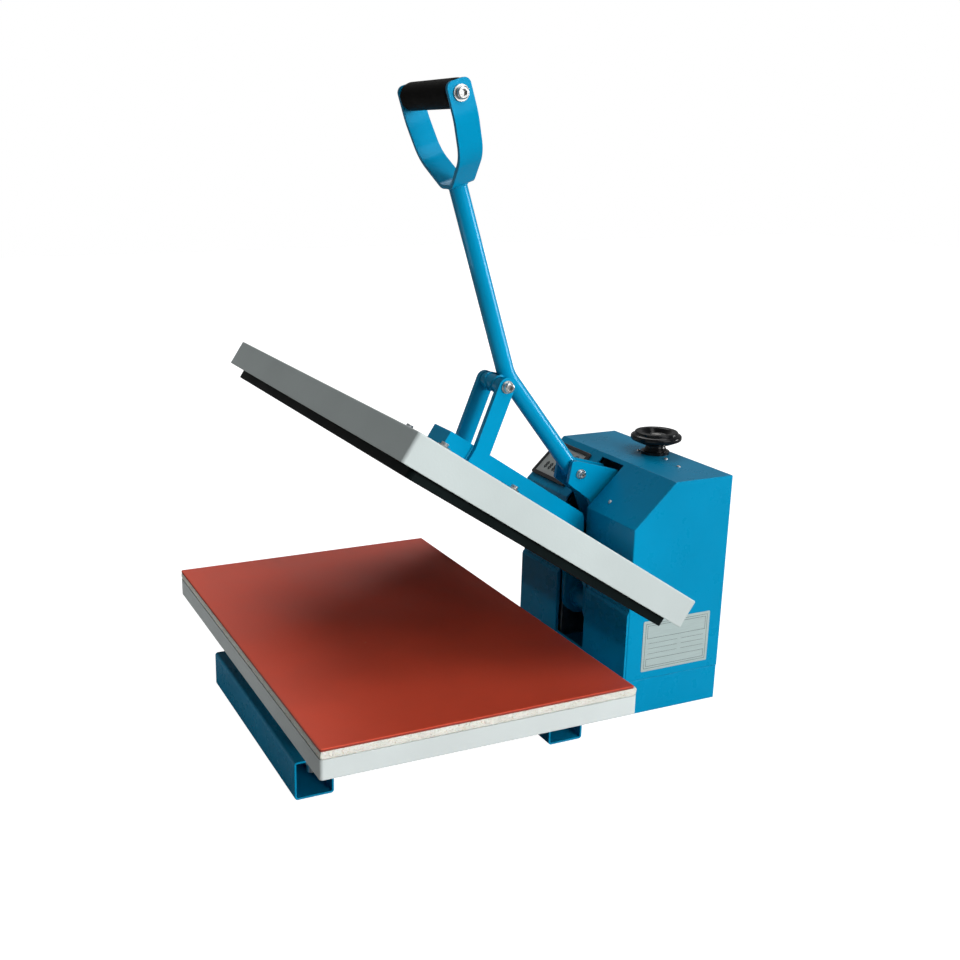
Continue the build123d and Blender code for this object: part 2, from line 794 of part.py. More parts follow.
neck_face = rounded(
    neck_face,
    ((neck_rear_y, hinge_height + neck_bend_rise), neck_inner_radius),
    ((hinge_y - neck_entry_ahead, hinge_height + neck_entry_rise), neck_outer_radius),
    ((hinge_y - hinge_boss_radius, hinge_height + neck_throat_rise), neck_outer_radius),
    ((hinge_y - neck_lip_ahead, hinge_height + neck_lip_rise), neck_outer_radius),
    ((neck_front_y, hinge_height + neck_chin_rise), neck_chin_radius),
)
swing_face = swing_closed + neck_face + disc(hinge, hinge_boss_radius)
swing_face -= disc(hinge, hinge_pin_radius + running_clearance)
swing_face -= disc(arm_pivot, arm_bolt_radius)
for x_name, side in (("left", -1), ("right", 1)):
    low, high = sorted((side * arm_inner, side * arm_outer))
    keep(f"swing_plate_{x_name}", plate(swing_face, low, high))

hinge_tube = rod(hinge, hinge_tube_radius, -arm_inner, arm_inner)
hinge_tube -= rod(hinge, hinge_pin_radius + running_clearance, -arm_outer, arm_outer)
keep("hinge_tube", hinge_tube)


def cross_bolt(point, radius, half_span, washer, head, head_height):
    """Bolt along X with washers, a domed head on the right and a nut on the left."""
    bolt = rod(point, radius, -half_span, half_span)
    for side in (-1, 1):
        low, high = sorted((side * half_span, side * (half_span + 2)))
        bolt += rod(point, washer, low, high)
    cap = rod(point, head, half_span + 2, half_span + 2 + head_height)
    cap = fillet(cap.faces().sort_by(Axis.X)[-1].edges(), head_height * 0.3)
    socket = Pos(point[0], point[1]) * RegularPolygon(head * socket_share, 6)
    cap -= plate(socket, half_span + 2 + head_height * 0.3, half_span + 3 + head_height)
    nut = Pos(point[0], point[1]) * RegularPolygon(head * 1.1, 6)
    bolt += plate(nut, -half_span - 2 - head_height, -half_span - 2)
    return bolt + cap


keep("arm_bolt", cross_bolt(
    arm_pivot, arm_bolt_radius, arm_outer, arm_washer_radius, arm_head_radius, arm_head_height))

# Handle
bend = (hinge_y - bend_ahead, bend_height)
handle_top = (hinge_y - handle_top_ahead, handle_top_height)
handle_path = FilletPolyline(
    Vector(0, *link_pivot), Vector(0, *bend), Vector(0, *handle_top), radius=handle_bend_radius)
handle_start = Plane(origin=handle_path @ 0, z_dir=handle_path % 0, x_dir=(1, 0, 0))
handle_solid = sweep(handle_start * Circle(handle_radius), path=handle_path)
handle_bore = sweep(handle_start * Circle(handle_radius - handle_wall), path=handle_path)
lower_bush = rod(link_pivot, lower_bush_radius, -link_spacing / 2 + 0.5, link_spacing / 2 - 0.5)
sleeve = rod(arm_pivot, sleeve_radius, -arm_inner + sleeve_end_gap, arm_inner - sleeve_end_gap)
handle_tube = handle_solid - handle_bore - lower_bush
arm_hole = rod(arm_pivot, arm_bolt_radius + running_clearance, -arm_inner, arm_inner)
handle_tube -= rod(arm_pivot, arm_bolt_radius + 0.5, -arm_inner, arm_inner)
keep("handle_tube", handle_tube)
keep("handle_sleeve", sleeve - handle_solid - arm_hole)
keep("lower_bush", lower_bush - rod(
    link_pivot, link_bolt_radius + running_clearance, -link_spacing, link_spacing))

# Stirrup grip, drawn in the plane of the upper handle
top_rise = math.hypot(handle_top[0] - bend[0], handle_top[1] - bend[1])
along = ((handle_top[0] - bend[0]) / top_rise, (handle_top[1] - bend[1]) / top_rise)
stirrup = Plane(
    origin=(0, *handle_top), x_dir=(1, 0, 0), z_dir=(0, -along[1], along[0]))
half_span = strap_span / 2
strap_top = strap_reach + strap_width / 2
strap_path = FilletPolyline(
    (half_span, strap_top),
    (half_span, strap_spread_height),
    (strap_shoulder_half, strap_shoulder),
    (strap_foot_half, strap_thick / 2),
    (-strap_foot_half, strap_thick / 2),
    (-strap_shoulder_half, strap_shoulder),
    (-half_span, strap_spread_height),
    (-half_span, strap_top),
    radius=[
        strap_spread_radius, strap_shoulder_radius, strap_foot_radius,
        strap_foot_radius, strap_shoulder_radius, strap_spread_radius,
    ],
)
strap_start = Plane(origin=strap_path @ 0, z_dir=strap_path % 0, x_dir=(1, 0, 0))
strap = sweep(strap_start * Rectangle(strap_thick, strap_width), path=strap_path)
strap_side = Pos(strap_top / 2, 0) * Rectangle(strap_top, strap_width)
strap_side = fillet(strap_side.vertices().sort_by(Axis.X)[-2:], strap_top_corner)
strap &= extrude(Plane.YZ * strap_side, half_span + strap_thick, both=True)
grip_axis = Pos(0, strap_reach, 0) * Rot(0, 90, 0)
strap -= grip_axis * Cylinder(grip_bolt_radius, 2 * strap_span)
keep("grip_strap", stirrup * strap)
grip_length = strap_span - strap_thick - 2 * grip_end_gap
grip = fillet(Cylinder(grip_radius, grip_length).edges(), 4)
grip -= Cylinder(grip_bolt_radius, 2 * strap_span)
keep("grip", stirrup * grip_axis * grip)
bolt_half = (strap_span + strap_thick) / 2
grip_bolt = Cylinder(grip_bolt_radius, 2 * bolt_half)
for side in (-1, 1):
    grip_bolt += Pos(0, 0, side * (bolt_half + grip_washer_thick / 2)) * Cylinder(
        grip_washer_radius, grip_washer_thick)
    head = Cylinder(grip_head_radius, grip_head_height)
    head = fillet(head.faces().sort_by(Axis.Z)[-1].edges(), grip_head_height / 4)
    head -= Pos(0, 0, grip_head_height / 2) * extrude(
        RegularPolygon(grip_head_radius * socket_share, 6), grip_head_height * 0.7, both=True)
    turned = Rot(0, 0, 0) if side > 0 else Rot(180, 0, 0)
    head_mid = bolt_half + grip_washer_thick + grip_head_height / 2
    grip_bolt += Pos(0, 0, side * head_mid) * turned * head
keep("grip_bolt", stirrup * grip_axis * grip_bolt)

# Link
link_inner = link_spacing / 2
link_outer = link_inner + link_thick
ear_points = [(-18.8, -12.0), (-13.5, 19.4), (-3.7, 18.7), (60.0, 0.0), (66.0, -16.0)]
ear_low = [(15.4, -38.0)]
tail_dir = math.radians(direction(link_pivot, guide_open))


def link_point(run, side):
    """Point a run down the link from its front pivot, and to one side of it."""
    return (
        link_pivot[0] + run * math.cos(tail_dir) - side * math.sin(tail_dir),
        link_pivot[1] + run * math.sin(tail_dir) + side * math.cos(tail_dir),
    )


ear_face = outline(
    [(link_pivot[0] + dy, link_pivot[1] + dz) for dy, dz in ear_points]
    + [link_point(link_length * 0.5, link_tail_radius)]
    + [link_point(link_length, link_tail_radius)]
    + [link_point(link_length, -link_tail_radius)]
    + [link_point(link_length * 0.38, -link_tail_radius)]
    + [(link_pivot[0] + dy, link_pivot[1] + dz) for dy, dz in ear_low]
)
ear_corners = [(link_pivot[0] + dy, link_pivot[1] + dz) for dy, dz in ear_points + ear_low]
ear_face = rounded(ear_face, *[(corner, ear_corner_radius) for corner in ear_corners[0:5]])
ear_face += disc(guide_open, link_tail_radius)
ear_face -= disc(link_pivot, link_bolt_radius)
ear_face -= disc(guide_open, rear_pin_radius)
spacer_spot = link_point(link_length * 0.45, 0)
for x_name, side in (("left", -1), ("right", 1)):
    low, high = sorted((side * link_inner, side * link_outer))
    keep(f"link_plate_{x_name}", plate(ear_face, low, high))
keep("link_spacer", rod(spacer_spot, spacer_radius, -link_inner, link_inner))
rear_pin_reach = cheek_outer + 2
keep("link_rear_pin", rod(guide_open, rear_pin_radius, -rear_pin_reach, rear_pin_reach))
keep("link_bolt", cross_bolt(
    link_pivot, link_bolt_radius, link_outer, link_washer_radius, link_head_radius, link_head_height))

# Knob, pressure screw and block
knob_low = housing_top + flange_thick
rim_low = knob_low + knob_stem_height
rim_high = rim_low + knob_rim_height
knob_foot = knob_low + 0.3
knob_profile = Polygon(
    (screw_radius, knob_foot),
    (knob_stem_radius, knob_foot),
    (knob_neck_radius + 1, knob_foot + knob_flare_rise),
    (knob_neck_radius, rim_low),
    (knob_under_radius, rim_low),
    (knob_radius, rim_low + knob_lip_low),
    (knob_radius, rim_low + knob_lip_high),
    (knob_crown_radius, rim_high - knob_crown_rise),
    (knob_crown_radius, rim_high),
    (knob_dish_radius, rim_high),
    (knob_dish_radius - 6, rim_high - 6),
    (screw_radius, rim_high - 7),
    align=None,
)
knob_profile = rounded(
    knob_profile,
    ((knob_neck_radius + 1, knob_foot + knob_flare_rise), knob_flare_radius),
    ((knob_neck_radius, rim_low), knob_flare_radius / 4),
    ((knob_under_radius, rim_low), knob_flare_radius),
    ((knob_radius, rim_low + knob_lip_low), knob_rim_roll),
    ((knob_radius, rim_low + knob_lip_high), knob_rim_roll),
    ((knob_crown_radius, rim_high - knob_crown_rise), knob_rim_roll / 2),
    ((knob_crown_radius, rim_high), knob_rim_roll / 2),
    ((knob_dish_radius, rim_high), knob_rim_roll),
)
knob = revolve(Plane.XZ * knob_profile, Axis.Z)
keep("knob", Pos(0, knob_y, 0) * knob)
block_rest_height = guide_closed_height + link_tail_radius + block_gap + block_travel
screw_end = block_rest_height - block_travel - screw_end_gap
screw_high = rim_high - 5
keep("pressure_screw", Pos(0, knob_y, (screw_end + screw_high) / 2) * Cylinder(
    screw_radius, screw_high - screw_end))
block_half = cheek_inner - block_side_gap
block_y = (knob_y - block_depth + block_rear, knob_y + block_rear)
pressure_block = block(
    2 * block_half, *block_y, block_rest_height, block_rest_height + block_thick)
for side in (-1, 1):
    pressure_block += block(
        block_foot_width,
        *block_y,
        block_rest_height - link_tail_radius + rear_pin_radius,
        block_rest_height,
        side * (block_half - block_foot_width / 2),
    )
pressure_block -= Pos(0, knob_y, block_rest_height) * Cylinder(
    screw_radius + running_clearance, 4 * block_thick)
keep("pressure_block", pressure_block)

os.makedirs("parts", exist_ok=True)
for name, shape in parts.items():
    export_step(shape, f"parts/{name}.step")

print("nodes", len(parts))
print("platen_y", round(platen_y, 3))
print("hinge", hinge, "arm pivot", arm_pivot, "link pivot", link_pivot)
print("guide open", guide_open, "guide closed", guide_closed, "link length", round(link_length, 3))
print("handle ratio", round(handle_ratio, 5), "link ratio", round(link_ratio, 5))
print("handle turn", round(handle_turn, 3), "link turn", round(link_turn, 3))
arc_centre = guide_path.arc_center
arc_radius = guide_path.radius
for step in range(9):
    point = guide_point(step / 8)
    away = math.hypot(point[0] - arc_centre.Y, point[1] - arc_centre.Z) - arc_radius
    print("guide", step, [round(v, 2) for v in point], "off the arc by", round(away, 2))
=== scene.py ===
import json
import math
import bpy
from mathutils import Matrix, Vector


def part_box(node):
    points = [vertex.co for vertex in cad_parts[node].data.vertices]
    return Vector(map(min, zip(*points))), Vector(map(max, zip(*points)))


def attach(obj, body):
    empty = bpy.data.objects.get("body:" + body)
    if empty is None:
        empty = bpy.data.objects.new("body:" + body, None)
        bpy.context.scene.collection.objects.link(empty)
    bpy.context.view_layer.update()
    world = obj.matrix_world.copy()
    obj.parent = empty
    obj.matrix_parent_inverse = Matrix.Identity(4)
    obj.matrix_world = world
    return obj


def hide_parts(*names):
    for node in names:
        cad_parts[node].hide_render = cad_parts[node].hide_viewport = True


bl_info = {
    "name": "Flat heat press dressing",
    "version": (1, 0, 0),
    "blender": (4, 5, 0),
    "location": "3D View > Sidebar > Heat press",
    "description": "Finishes, platen covering, fasteners, welds and stage of a flat heat press",
    "category": "Object",
}

import bmesh
import bpy
from bpy.props import FloatProperty, FloatVectorProperty, IntProperty, PointerProperty
from bpy.types import NodeSocket, Operator, Panel, PropertyGroup
from mathutils import Matrix, Vector, noise

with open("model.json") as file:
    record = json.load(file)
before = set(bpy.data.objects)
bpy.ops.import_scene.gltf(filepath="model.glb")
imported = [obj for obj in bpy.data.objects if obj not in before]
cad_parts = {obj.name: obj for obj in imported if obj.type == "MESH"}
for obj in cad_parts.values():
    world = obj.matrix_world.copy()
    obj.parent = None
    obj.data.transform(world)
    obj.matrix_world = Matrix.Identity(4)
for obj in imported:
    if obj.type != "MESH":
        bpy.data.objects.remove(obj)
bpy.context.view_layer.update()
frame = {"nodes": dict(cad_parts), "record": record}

# Places read from the frame, in metres
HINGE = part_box("hinge_tube")
HINGE_Y = (HINGE[0].y + HINGE[1].y) / 2
HINGE_Z = (HINGE[0].z + HINGE[1].z) / 2
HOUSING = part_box("housing_shell")

# The head's rest angle, and where the handle's tube meets the stirrup
OPEN_ANGLE = math.radians(33.35)
HANDLE_TOP = Vector((0.0, -0.031, 0.705))
HANDLE_WAY = Vector((0.0, -0.3036, 0.9528)).normalized()

# The housing's slanted face: its lower fold, and its slope from there to the top
FOLD_HEIGHT = 0.2678
FOLD_RUN = 0.0617
SLANT = math.atan2(HOUSING[1].z - FOLD_HEIGHT, FOLD_RUN)
SLANT_MIDDLE = Vector((0.0, HOUSING[0].y + FOLD_RUN / 2, (FOLD_HEIGHT + HOUSING[1].z) / 2))
SLANT_OUT = Vector((0.0, -math.sin(SLANT), math.cos(SLANT)))
SLANT_UP = Vector((0.0, math.cos(SLANT), math.sin(SLANT)))

UP = Vector((0.0, 0.0, 1.0))
BACK = Vector((0.0, 1.0, 0.0))


# ---------------------------------------------------------------- small helpers

def node_place(name):
    """Middle of a node's box."""
    low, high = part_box(name)
    return (low + high) / 2


def raised(x, ahead, height):
    """A point of the head, given in its closed place, turned up to the open rest place."""
    spot = Vector((0.0, -ahead, height - HINGE_Z))
    spot = Matrix.Rotation(-OPEN_ANGLE, 3, "X") @ spot
    return Vector((x, HINGE_Y + spot.y, HINGE_Z + spot.z))


def on_slant(x, along, lift=0.0):
    """A point on the housing's slanted face: along it from its middle, and above it."""
    return SLANT_MIDDLE + Vector((x, 0.0, 0.0)) + SLANT_UP * along + SLANT_OUT * lift


def new_object(name, mesh, material=None):
    piece = bpy.data.objects.new(name, mesh)
    bpy.context.scene.collection.objects.link(piece)
    if material is not None:
        mesh.materials.append(material)
    return piece


def settle(piece, body):
    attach(piece, body)
    return piece


def mesh_from(name, work, smooth_degrees=35.0):
    """Plain mesh of a bmesh, faces outwards, smooth except over sharp edges."""
    bmesh.ops.remove_doubles(work, verts=work.verts, dist=1e-7)
    bmesh.ops.recalc_face_normals(work, faces=work.faces)
    mesh = bpy.data.meshes.new(name)
    work.to_mesh(mesh)
    work.free()
    mesh.shade_smooth()
    mesh.set_sharp_from_angle(angle=math.radians(smooth_degrees))
    return mesh


def path_mesh(name, paths):
    """Edges of open or closed runs of points, as a base for welds and threads."""
    work = bmesh.new()
    for points, closed in paths:
        run = [work.verts.new(point) for point in points]
        for first, second in zip(run, run[1:]):
            work.edges.new((first, second))
        if closed:
            work.edges.new((run[-1], run[0]))
    mesh = bpy.data.meshes.new(name)
    work.to_mesh(mesh)
    work.free()
    return mesh


def spot_mesh(name, spots):
    """Loose points that carry the way each fastener faces."""
    mesh = bpy.data.meshes.new(name)
    mesh.from_pydata([tuple(place) for place, way in spots], [], [])
    aim = mesh.attributes.new("aim", "FLOAT_VECTOR", "POINT")
    for index, (place, way) in enumerate(spots):
        aim.data[index].vector = way.normalized()
    return mesh


def ring(centre, axis, radius, count=48):
    """Points of a circle round an axis."""
    across = axis.orthogonal().normalized()
    beside = axis.cross(across)
    return [
        centre + radius * (math.cos(turn) * across + math.sin(turn) * beside)
        for turn in (math.tau * index / count for index in range(count))
    ]


def rounded_corners(x0, y0, x1, y1, radius):
    """Centres of a rectangle's corners, counter-clockwise, and the angle each starts at."""
    return (
        (x1 - radius, y0 + radius, -90), (x1 - radius, y1 - radius, 0),
        (x0 + radius, y1 - radius, 90), (x0 + radius, y0 + radius, 180))


def quarter(x, y, radius, start, steps):
    """Points of a quarter circle about (x, y), from an angle in degrees."""
    turns = [math.radians(start + 90 * step / steps) for step in range(steps + 1)]
    return [(x + radius * math.cos(turn), y + radius * math.sin(turn)) for turn in turns]


def skin(work, loops):
    """Walls from each loop of vertices to the next, and a face on both ends."""
    for lower, upper in zip(loops, loops[1:]):
        for index in range(len(lower)):
            after = (index + 1) % len(lower)
            work.faces.new((lower[index], lower[after], upper[after], upper[index]))
    work.faces.new(loops[-1])
    work.faces.new(list(reversed(loops[0])))


# ---------------------------------------------------------------- nodes

class Nodes:
    """Short calls that add and link the nodes of one tree."""

    def __init__(self, tree):
        self.tree = tree

    def node(self, kind, feeds=None, **settings):
        """A node with its settings, and inputs that are linked or set to a value."""
        made = self.tree.nodes.new(kind)
        for label, value in settings.items():
            setattr(made, label, value)
        self.feed_all(made, feeds or {})
        return made

    def feed(self, socket, value):
        """Link a socket to another or set it to a plain value."""
        if isinstance(value, NodeSocket):
            self.tree.links.new(value, socket)
        else:
            socket.default_value = value

    def feed_all(self, node, feeds):
        """Feed a node's inputs, and leave those that are given as None."""
        for label, value in feeds.items():
            if value is not None:
                self.feed(node.inputs[label], value)

    def math(self, operation, first, second=None):
        return self.node(
            "ShaderNodeMath", {0: first, 1: second}, operation=operation).outputs[0]

    def spread(self, value, low, high, out_low=0.0, out_high=1.0):
        """Map a value from one range to another and hold it there."""
        return self.node("ShaderNodeMapRange", {
            "Value": value, "From Min": low, "From Max": high,
            "To Min": out_low, "To Max": out_high}).outputs["Result"]


# ---------------------------------------------------------------- finishes

def shade(colour, share):
    return tuple(min(1.0, part * share) for part in colour)


class Finish(Nodes):
    """A procedural material on Object coordinates. Textures count their waves a metre."""

    def __init__(self, name, **fixed):
        self.material = bpy.data.materials.new(name)
        self.material.use_nodes = True
        super().__init__(self.material.node_tree)
        self.shader = self.tree.nodes["Principled BSDF"]
        self.place = self.node("ShaderNodeTexCoord").outputs["Object"]
        for label, value in fixed.items():
            self.shader.inputs[label.replace("_", " ")].default_value = value

    def stretched(self, x=1.0, y=1.0, z=1.0, turn=(0.0, 0.0, 0.0)):
        """Object coordinates scaled, and turned, for a grain that runs one way."""
        return self.node("ShaderNodeMapping", {
            "Vector": self.place, "Scale": (x, y, z), "Rotation": turn}).outputs["Vector"]

    def noise(self, scale, detail=2.0, rough=0.5, place=None):
        return self.node("ShaderNodeTexNoise", {
            "Vector": place or self.place, "Scale": scale, "Detail": detail,
            "Roughness": rough}).outputs["Fac"]

    def cells(self, scale):
        return self.node("ShaderNodeTexVoronoi", {
            "Vector": self.place, "Scale": scale}).outputs["Distance"]

    def blend(self, share, first, second):
        """Colour between two, each a plain colour or one that is already mixed."""
        first, second = (
            colour if isinstance(colour, NodeSocket) else (*colour, 1.0)
            for colour in (first, second))
        return self.node(
            "ShaderNodeMix", {"Factor": share, 6: first, 7: second},
            data_type="RGBA").outputs[2]

    def mottled(self, texture, colour, dark, light, low=0.3, high=0.7):
        """Colour that drifts with a texture between two shares of its strength."""
        return self.blend(
            self.spread(texture, low, high), shade(colour, dark), shade(colour, light))

    def soft_edges(self, radius):
        return self.node("ShaderNodeBevel", {"Radius": radius}, samples=4).outputs["Normal"]

    def edge_share(self, soft):
        """One along outer edges, nought on flat walls."""
        flat = self.node("ShaderNodeNewGeometry").outputs["True Normal"]
        facing = self.node("ShaderNodeVectorMath", {0: flat, 1: soft}, operation="DOT_PRODUCT")
        return self.spread(facing.outputs["Value"], 0.995, 0.80)

    def relief(self, height, strength, distance, under=None):
        return self.node("ShaderNodeBump", {
            "Height": height, "Strength": strength, "Distance": distance,
            "Normal": under}).outputs["Normal"]

    def done(self, colour, roughness, normal, metallic=None):
        self.feed_all(self.shader, {
            "Base Color": colour, "Roughness": roughness, "Normal": normal,
            "Metallic": metallic})
        return self.material


def powder_coat(name, colour, gloss_low, gloss_high, peel, edge=0.0012, wear_and_highlight=0.30):
    """Sprayed and baked powder: orange peel, slow drift of tone, and outer edges paled, partly
    for the thin worn film there and partly as a painted highlight.
    """
    finish = Finish(name, Specular_IOR_Level=0.28)
    brightest = max(colour)
    tint = tuple(0.25 + 0.75 * part / brightest for part in colour)
    finish.shader.inputs["Specular Tint"].default_value = (*tint, 1.0)
    tone = finish.mottled(finish.noise(7.0, 3.0), colour, 0.93, 1.05)
    grit = finish.noise(2600.0, 1.0)
    tone = finish.blend(finish.spread(grit, 0.66, 0.80, 0.0, 0.18), tone, shade(colour, 0.70))
    soft = finish.soft_edges(edge)
    # Painted highlight along the edges: the edge mask pales the tone, partly for a worn thin film
    # and partly for light caught on the edges; the last argument sets how strongly
    patchy = finish.spread(finish.noise(60.0, 4.0), 0.45, 0.75, 0.2, 1.0)
    rubbed = finish.math("MULTIPLY", finish.edge_share(soft), patchy)
    pale = tuple(min(1.0, part * 1.45 + 0.10) for part in colour)
    tone = finish.blend(finish.math("MULTIPLY", rubbed, wear_and_highlight), tone, pale)
    gloss = finish.spread(finish.noise(22.0, 4.0, 0.6), 0.3, 0.75, gloss_low, gloss_high)
    bumps = finish.relief(finish.noise(peel, 2.0, 0.45), 0.14, 0.0006, soft)
    return finish.done(tone, gloss, finish.relief(grit, 0.05, 0.0002, bumps))


def zinc_plate(name, colour, dull):
    """Bright zinc on turned steel: fine rings of tool marks and a faint cloudy film."""
    finish = Finish(name, Metallic=1.0)
    film = finish.noise(90.0, 4.0, 0.6)
    tone = finish.mottled(film, colour, 0.80, 1.0, 0.3, 0.75)
    stain = finish.spread(finish.noise(320.0, 3.0), 0.62, 0.78)
    tone = finish.blend(finish.math("MULTIPLY", stain, 0.35), tone, shade(colour, 0.45))
    gloss = finish.spread(film, 0.25, 0.75, dull + 0.14, dull - 0.06)
    marks = finish.noise(1900.0, 2.0, place=finish.stretched(x=0.15))
    soft = finish.soft_edges(0.0006)
    return finish.done(tone, gloss, finish.relief(marks, 0.10, 0.0003, soft))


def bare_steel(name, colour):
    """Rolled or drawn steel left bare inside the machine: mill scale and streaks."""
    finish = Finish(name, Metallic=1.0)
    tone = finish.mottled(finish.noise(34.0, 5.0, 0.65), colour, 0.55, 1.0, 0.35, 0.7)
    streak = finish.noise(240.0, 2.0, place=finish.stretched(z=0.06))
    gloss = finish.spread(streak, 0.3, 0.7, 0.34, 0.52)
    soft = finish.soft_edges(0.0008)
    return finish.done(tone, gloss, finish.relief(streak, 0.12, 0.0004, soft))


def heater_coat(name, colour):
    """Dark non-stick coat on the cast heating plate: fine pebble and rubbed grey edges."""
    finish = Finish(name, Specular_IOR_Level=0.10)
    cloud = finish.noise(16.0, 4.0, 0.6)
    tone = finish.mottled(cloud, colour, 0.75, 1.25)
    fleck = finish.spread(finish.noise(1500.0, 1.0), 0.70, 0.80, 0.0, 0.20)
    tone = finish.blend(fleck, tone, (0.12, 0.12, 0.11))
    soft = finish.soft_edges(0.0012)
    patchy = finish.spread(cloud, 0.4, 0.7, 0.1, 0.6)
    rim = finish.math("MULTIPLY", finish.edge_share(soft), patchy)
    tone = finish.blend(rim, tone, (0.20, 0.20, 0.19))
    gloss = finish.spread(cloud, 0.3, 0.7, 0.34, 0.48)
    pebble = finish.noise(900.0, 3.0, 0.55)
    return finish.done(tone, gloss, finish.relief(pebble, 0.25, 0.0004, soft))


def silicone(name, colour):
    """Red silicone sheet: fine pebbled skin, cloudy sheen, and a few pale specks of lint."""
    finish = Finish(name, Specular_IOR_Level=0.42)
    cloud = finish.noise(9.0, 4.0, 0.55)
    tone = finish.mottled(cloud, colour, 0.92, 1.07, 0.3, 0.72)
    fine = finish.spread(finish.noise(700.0, 2.0), 0.35, 0.75, 0.0, 0.16)
    tone = finish.blend(fine, tone, shade(colour, 0.74))
    # Painted shade: faces that turn sideways, such as the cut edge, are darkened against the top
    normal = finish.node("ShaderNodeNewGeometry").outputs["Normal"]
    facing = finish.node("ShaderNodeSeparateXYZ", {"Vector": normal}).outputs["Z"]
    tone = finish.blend(finish.spread(facing, 0.75, 0.35), tone, shade(colour, 0.30))
    lint = finish.spread(finish.cells(34.0), 0.050, 0.030)
    chosen = finish.spread(finish.noise(13.0, 0.0), 0.60, 0.63)
    dusty = finish.math("MULTIPLY", lint, chosen)
    tone = finish.blend(finish.math("MULTIPLY", dusty, 0.6), tone, (0.75, 0.62, 0.55))
    gloss = finish.spread(cloud, 0.3, 0.7, 0.48, 0.60)
    soft = finish.soft_edges(0.0006)
    across = finish.noise(1050.0, 1.0, place=finish.stretched(y=0.35))
    along = finish.noise(1050.0, 1.0, place=finish.stretched(x=0.35))
    weave = finish.math("ADD", across, along)
    bumps = finish.relief(weave, 0.16, 0.0003, soft)
    return finish.done(tone, gloss, finish.relief(dusty, 0.5, 0.0004, bumps))


def foam(name, colour):
    """Cut sponge rubber: open cells of several sizes, each pore darkened towards a browner tone
    as painted shade.
    """
    finish = Finish(
        name, Specular_IOR_Level=0.18, Subsurface_Weight=0.12, Subsurface_Scale=0.004)
    pores = finish.spread(finish.cells(620.0), 0.34, 0.10)
    big_pores = finish.spread(finish.cells(190.0), 0.20, 0.06)
    deep = finish.math("MAXIMUM", big_pores, pores)
    tone = finish.mottled(finish.noise(40.0, 3.0), colour, 0.92, 1.04)
    # Painted shade: the pores are darkened towards a browner tone, as shade in the holes
    pore_shade_tone = (colour[0] * 0.74, colour[1] * 0.60, colour[2] * 0.40)
    tone = finish.blend(finish.math("MULTIPLY", deep, 0.8), tone, pore_shade_tone)
    sunk = finish.math("MULTIPLY", deep, -1.0)
    return finish.done(tone, 0.9, finish.relief(sunk, 0.7, 0.0008))


def ceramic_wool(name, colour):
    """Matted insulating wool with short pale fibres."""
    finish = Finish(name, Specular_IOR_Level=0.1, Sheen_Weight=0.3, Sheen_Roughness=0.6)
    long = finish.noise(260.0, 5.0, 0.7, finish.stretched(1.0, 0.2, 0.6, (0.0, 0.0, 0.5)))
    cross = finish.noise(240.0, 5.0, 0.7, finish.stretched(0.2, 1.0, 0.6, (0.0, 0.0, -0.4)))
    fibre = finish.math("MAXIMUM", long, cross)
    tone = finish.mottled(fibre, colour, 0.7, 1.0, 0.4, 0.75)
    return finish.done(tone, 0.95, finish.relief(fibre, 0.8, 0.0012))


def moulded(name, colour, gloss_low, gloss_high, grain, depth, specular=0.5):
    """Moulded plastic: even grain, slight sink clouds, small mould radius on its edges."""
    finish = Finish(name, Specular_IOR_Level=specular)
    cloud = finish.noise(30.0, 3.0)
    tone = finish.mottled(cloud, colour, 0.88, 1.10)
    soft = finish.soft_edges(0.0006)
    patchy = finish.spread(cloud, 0.4, 0.8, 0.0, 0.25)
    scuff = finish.math("MULTIPLY", finish.edge_share(soft), patchy)
    tone = finish.blend(scuff, tone, tuple(part * 0.7 + 0.08 for part in colour))
    gloss = finish.spread(finish.noise(120.0, 4.0), 0.3, 0.7, gloss_low, gloss_high)
    return finish.done(
        tone, gloss, finish.relief(finish.noise(grain, 2.0), depth, 0.0004, soft))


def rubber_grip(name, colour):
    """Foam rubber tube of the grip: closed matt skin with fine pores and palm shine."""
    finish = Finish(name, Specular_IOR_Level=0.06)
    pores = finish.cells(1100.0)
    cloud = finish.noise(26.0, 4.0, 0.6)
    tone = finish.mottled(cloud, colour, 0.8, 1.5)
    # Painted shade: the tone is darkened inside the pores
    tone = finish.blend(finish.spread(pores, 0.30, 0.12, 0.0, 0.5), tone, shade(colour, 0.4))
    gloss = finish.spread(cloud, 0.3, 0.7, 0.52, 0.70)
    lumps = finish.relief(cloud, 0.25, 0.002, finish.soft_edges(0.0015))
    return finish.done(tone, gloss, finish.relief(pores, 0.30, 0.0004, lumps))


def display_glass(name, colour):
    """Reflective liquid crystal field behind a thin clear window."""
    finish = Finish(name, Specular_IOR_Level=0.5, Coat_Weight=0.5, Coat_Roughness=0.06)
    tone = finish.mottled(finish.noise(55.0, 2.0), colour, 0.92, 1.06)
    dots = finish.cells(1400.0)
    tone = finish.blend(finish.spread(dots, 0.2, 0.4, 0.0, 0.10), tone, shade(colour, 0.6))
    return finish.done(tone, 0.28, finish.relief(dots, 0.05, 0.0001))


def anodised_plate(name, colour):
    """Thin silvery label stock: brushed along its length, slightly cloudy."""
    finish = Finish(name, Specular_IOR_Level=0.5)
    brush = finish.noise(900.0, 2.0, place=finish.stretched(y=0.05))
    cloud = finish.noise(25.0, 4.0)
    tone = finish.mottled(brush, colour, 0.94, 1.06)
    tone = finish.blend(finish.spread(cloud, 0.45, 0.8, 0.0, 0.25), tone, shade(colour, 0.86))
    gloss = finish.spread(cloud, 0.3, 0.7, 0.30, 0.42)
    soft = finish.soft_edges(0.0003)
    return finish.done(tone, gloss, finish.relief(brush, 0.08, 0.0001, soft), 0.35)


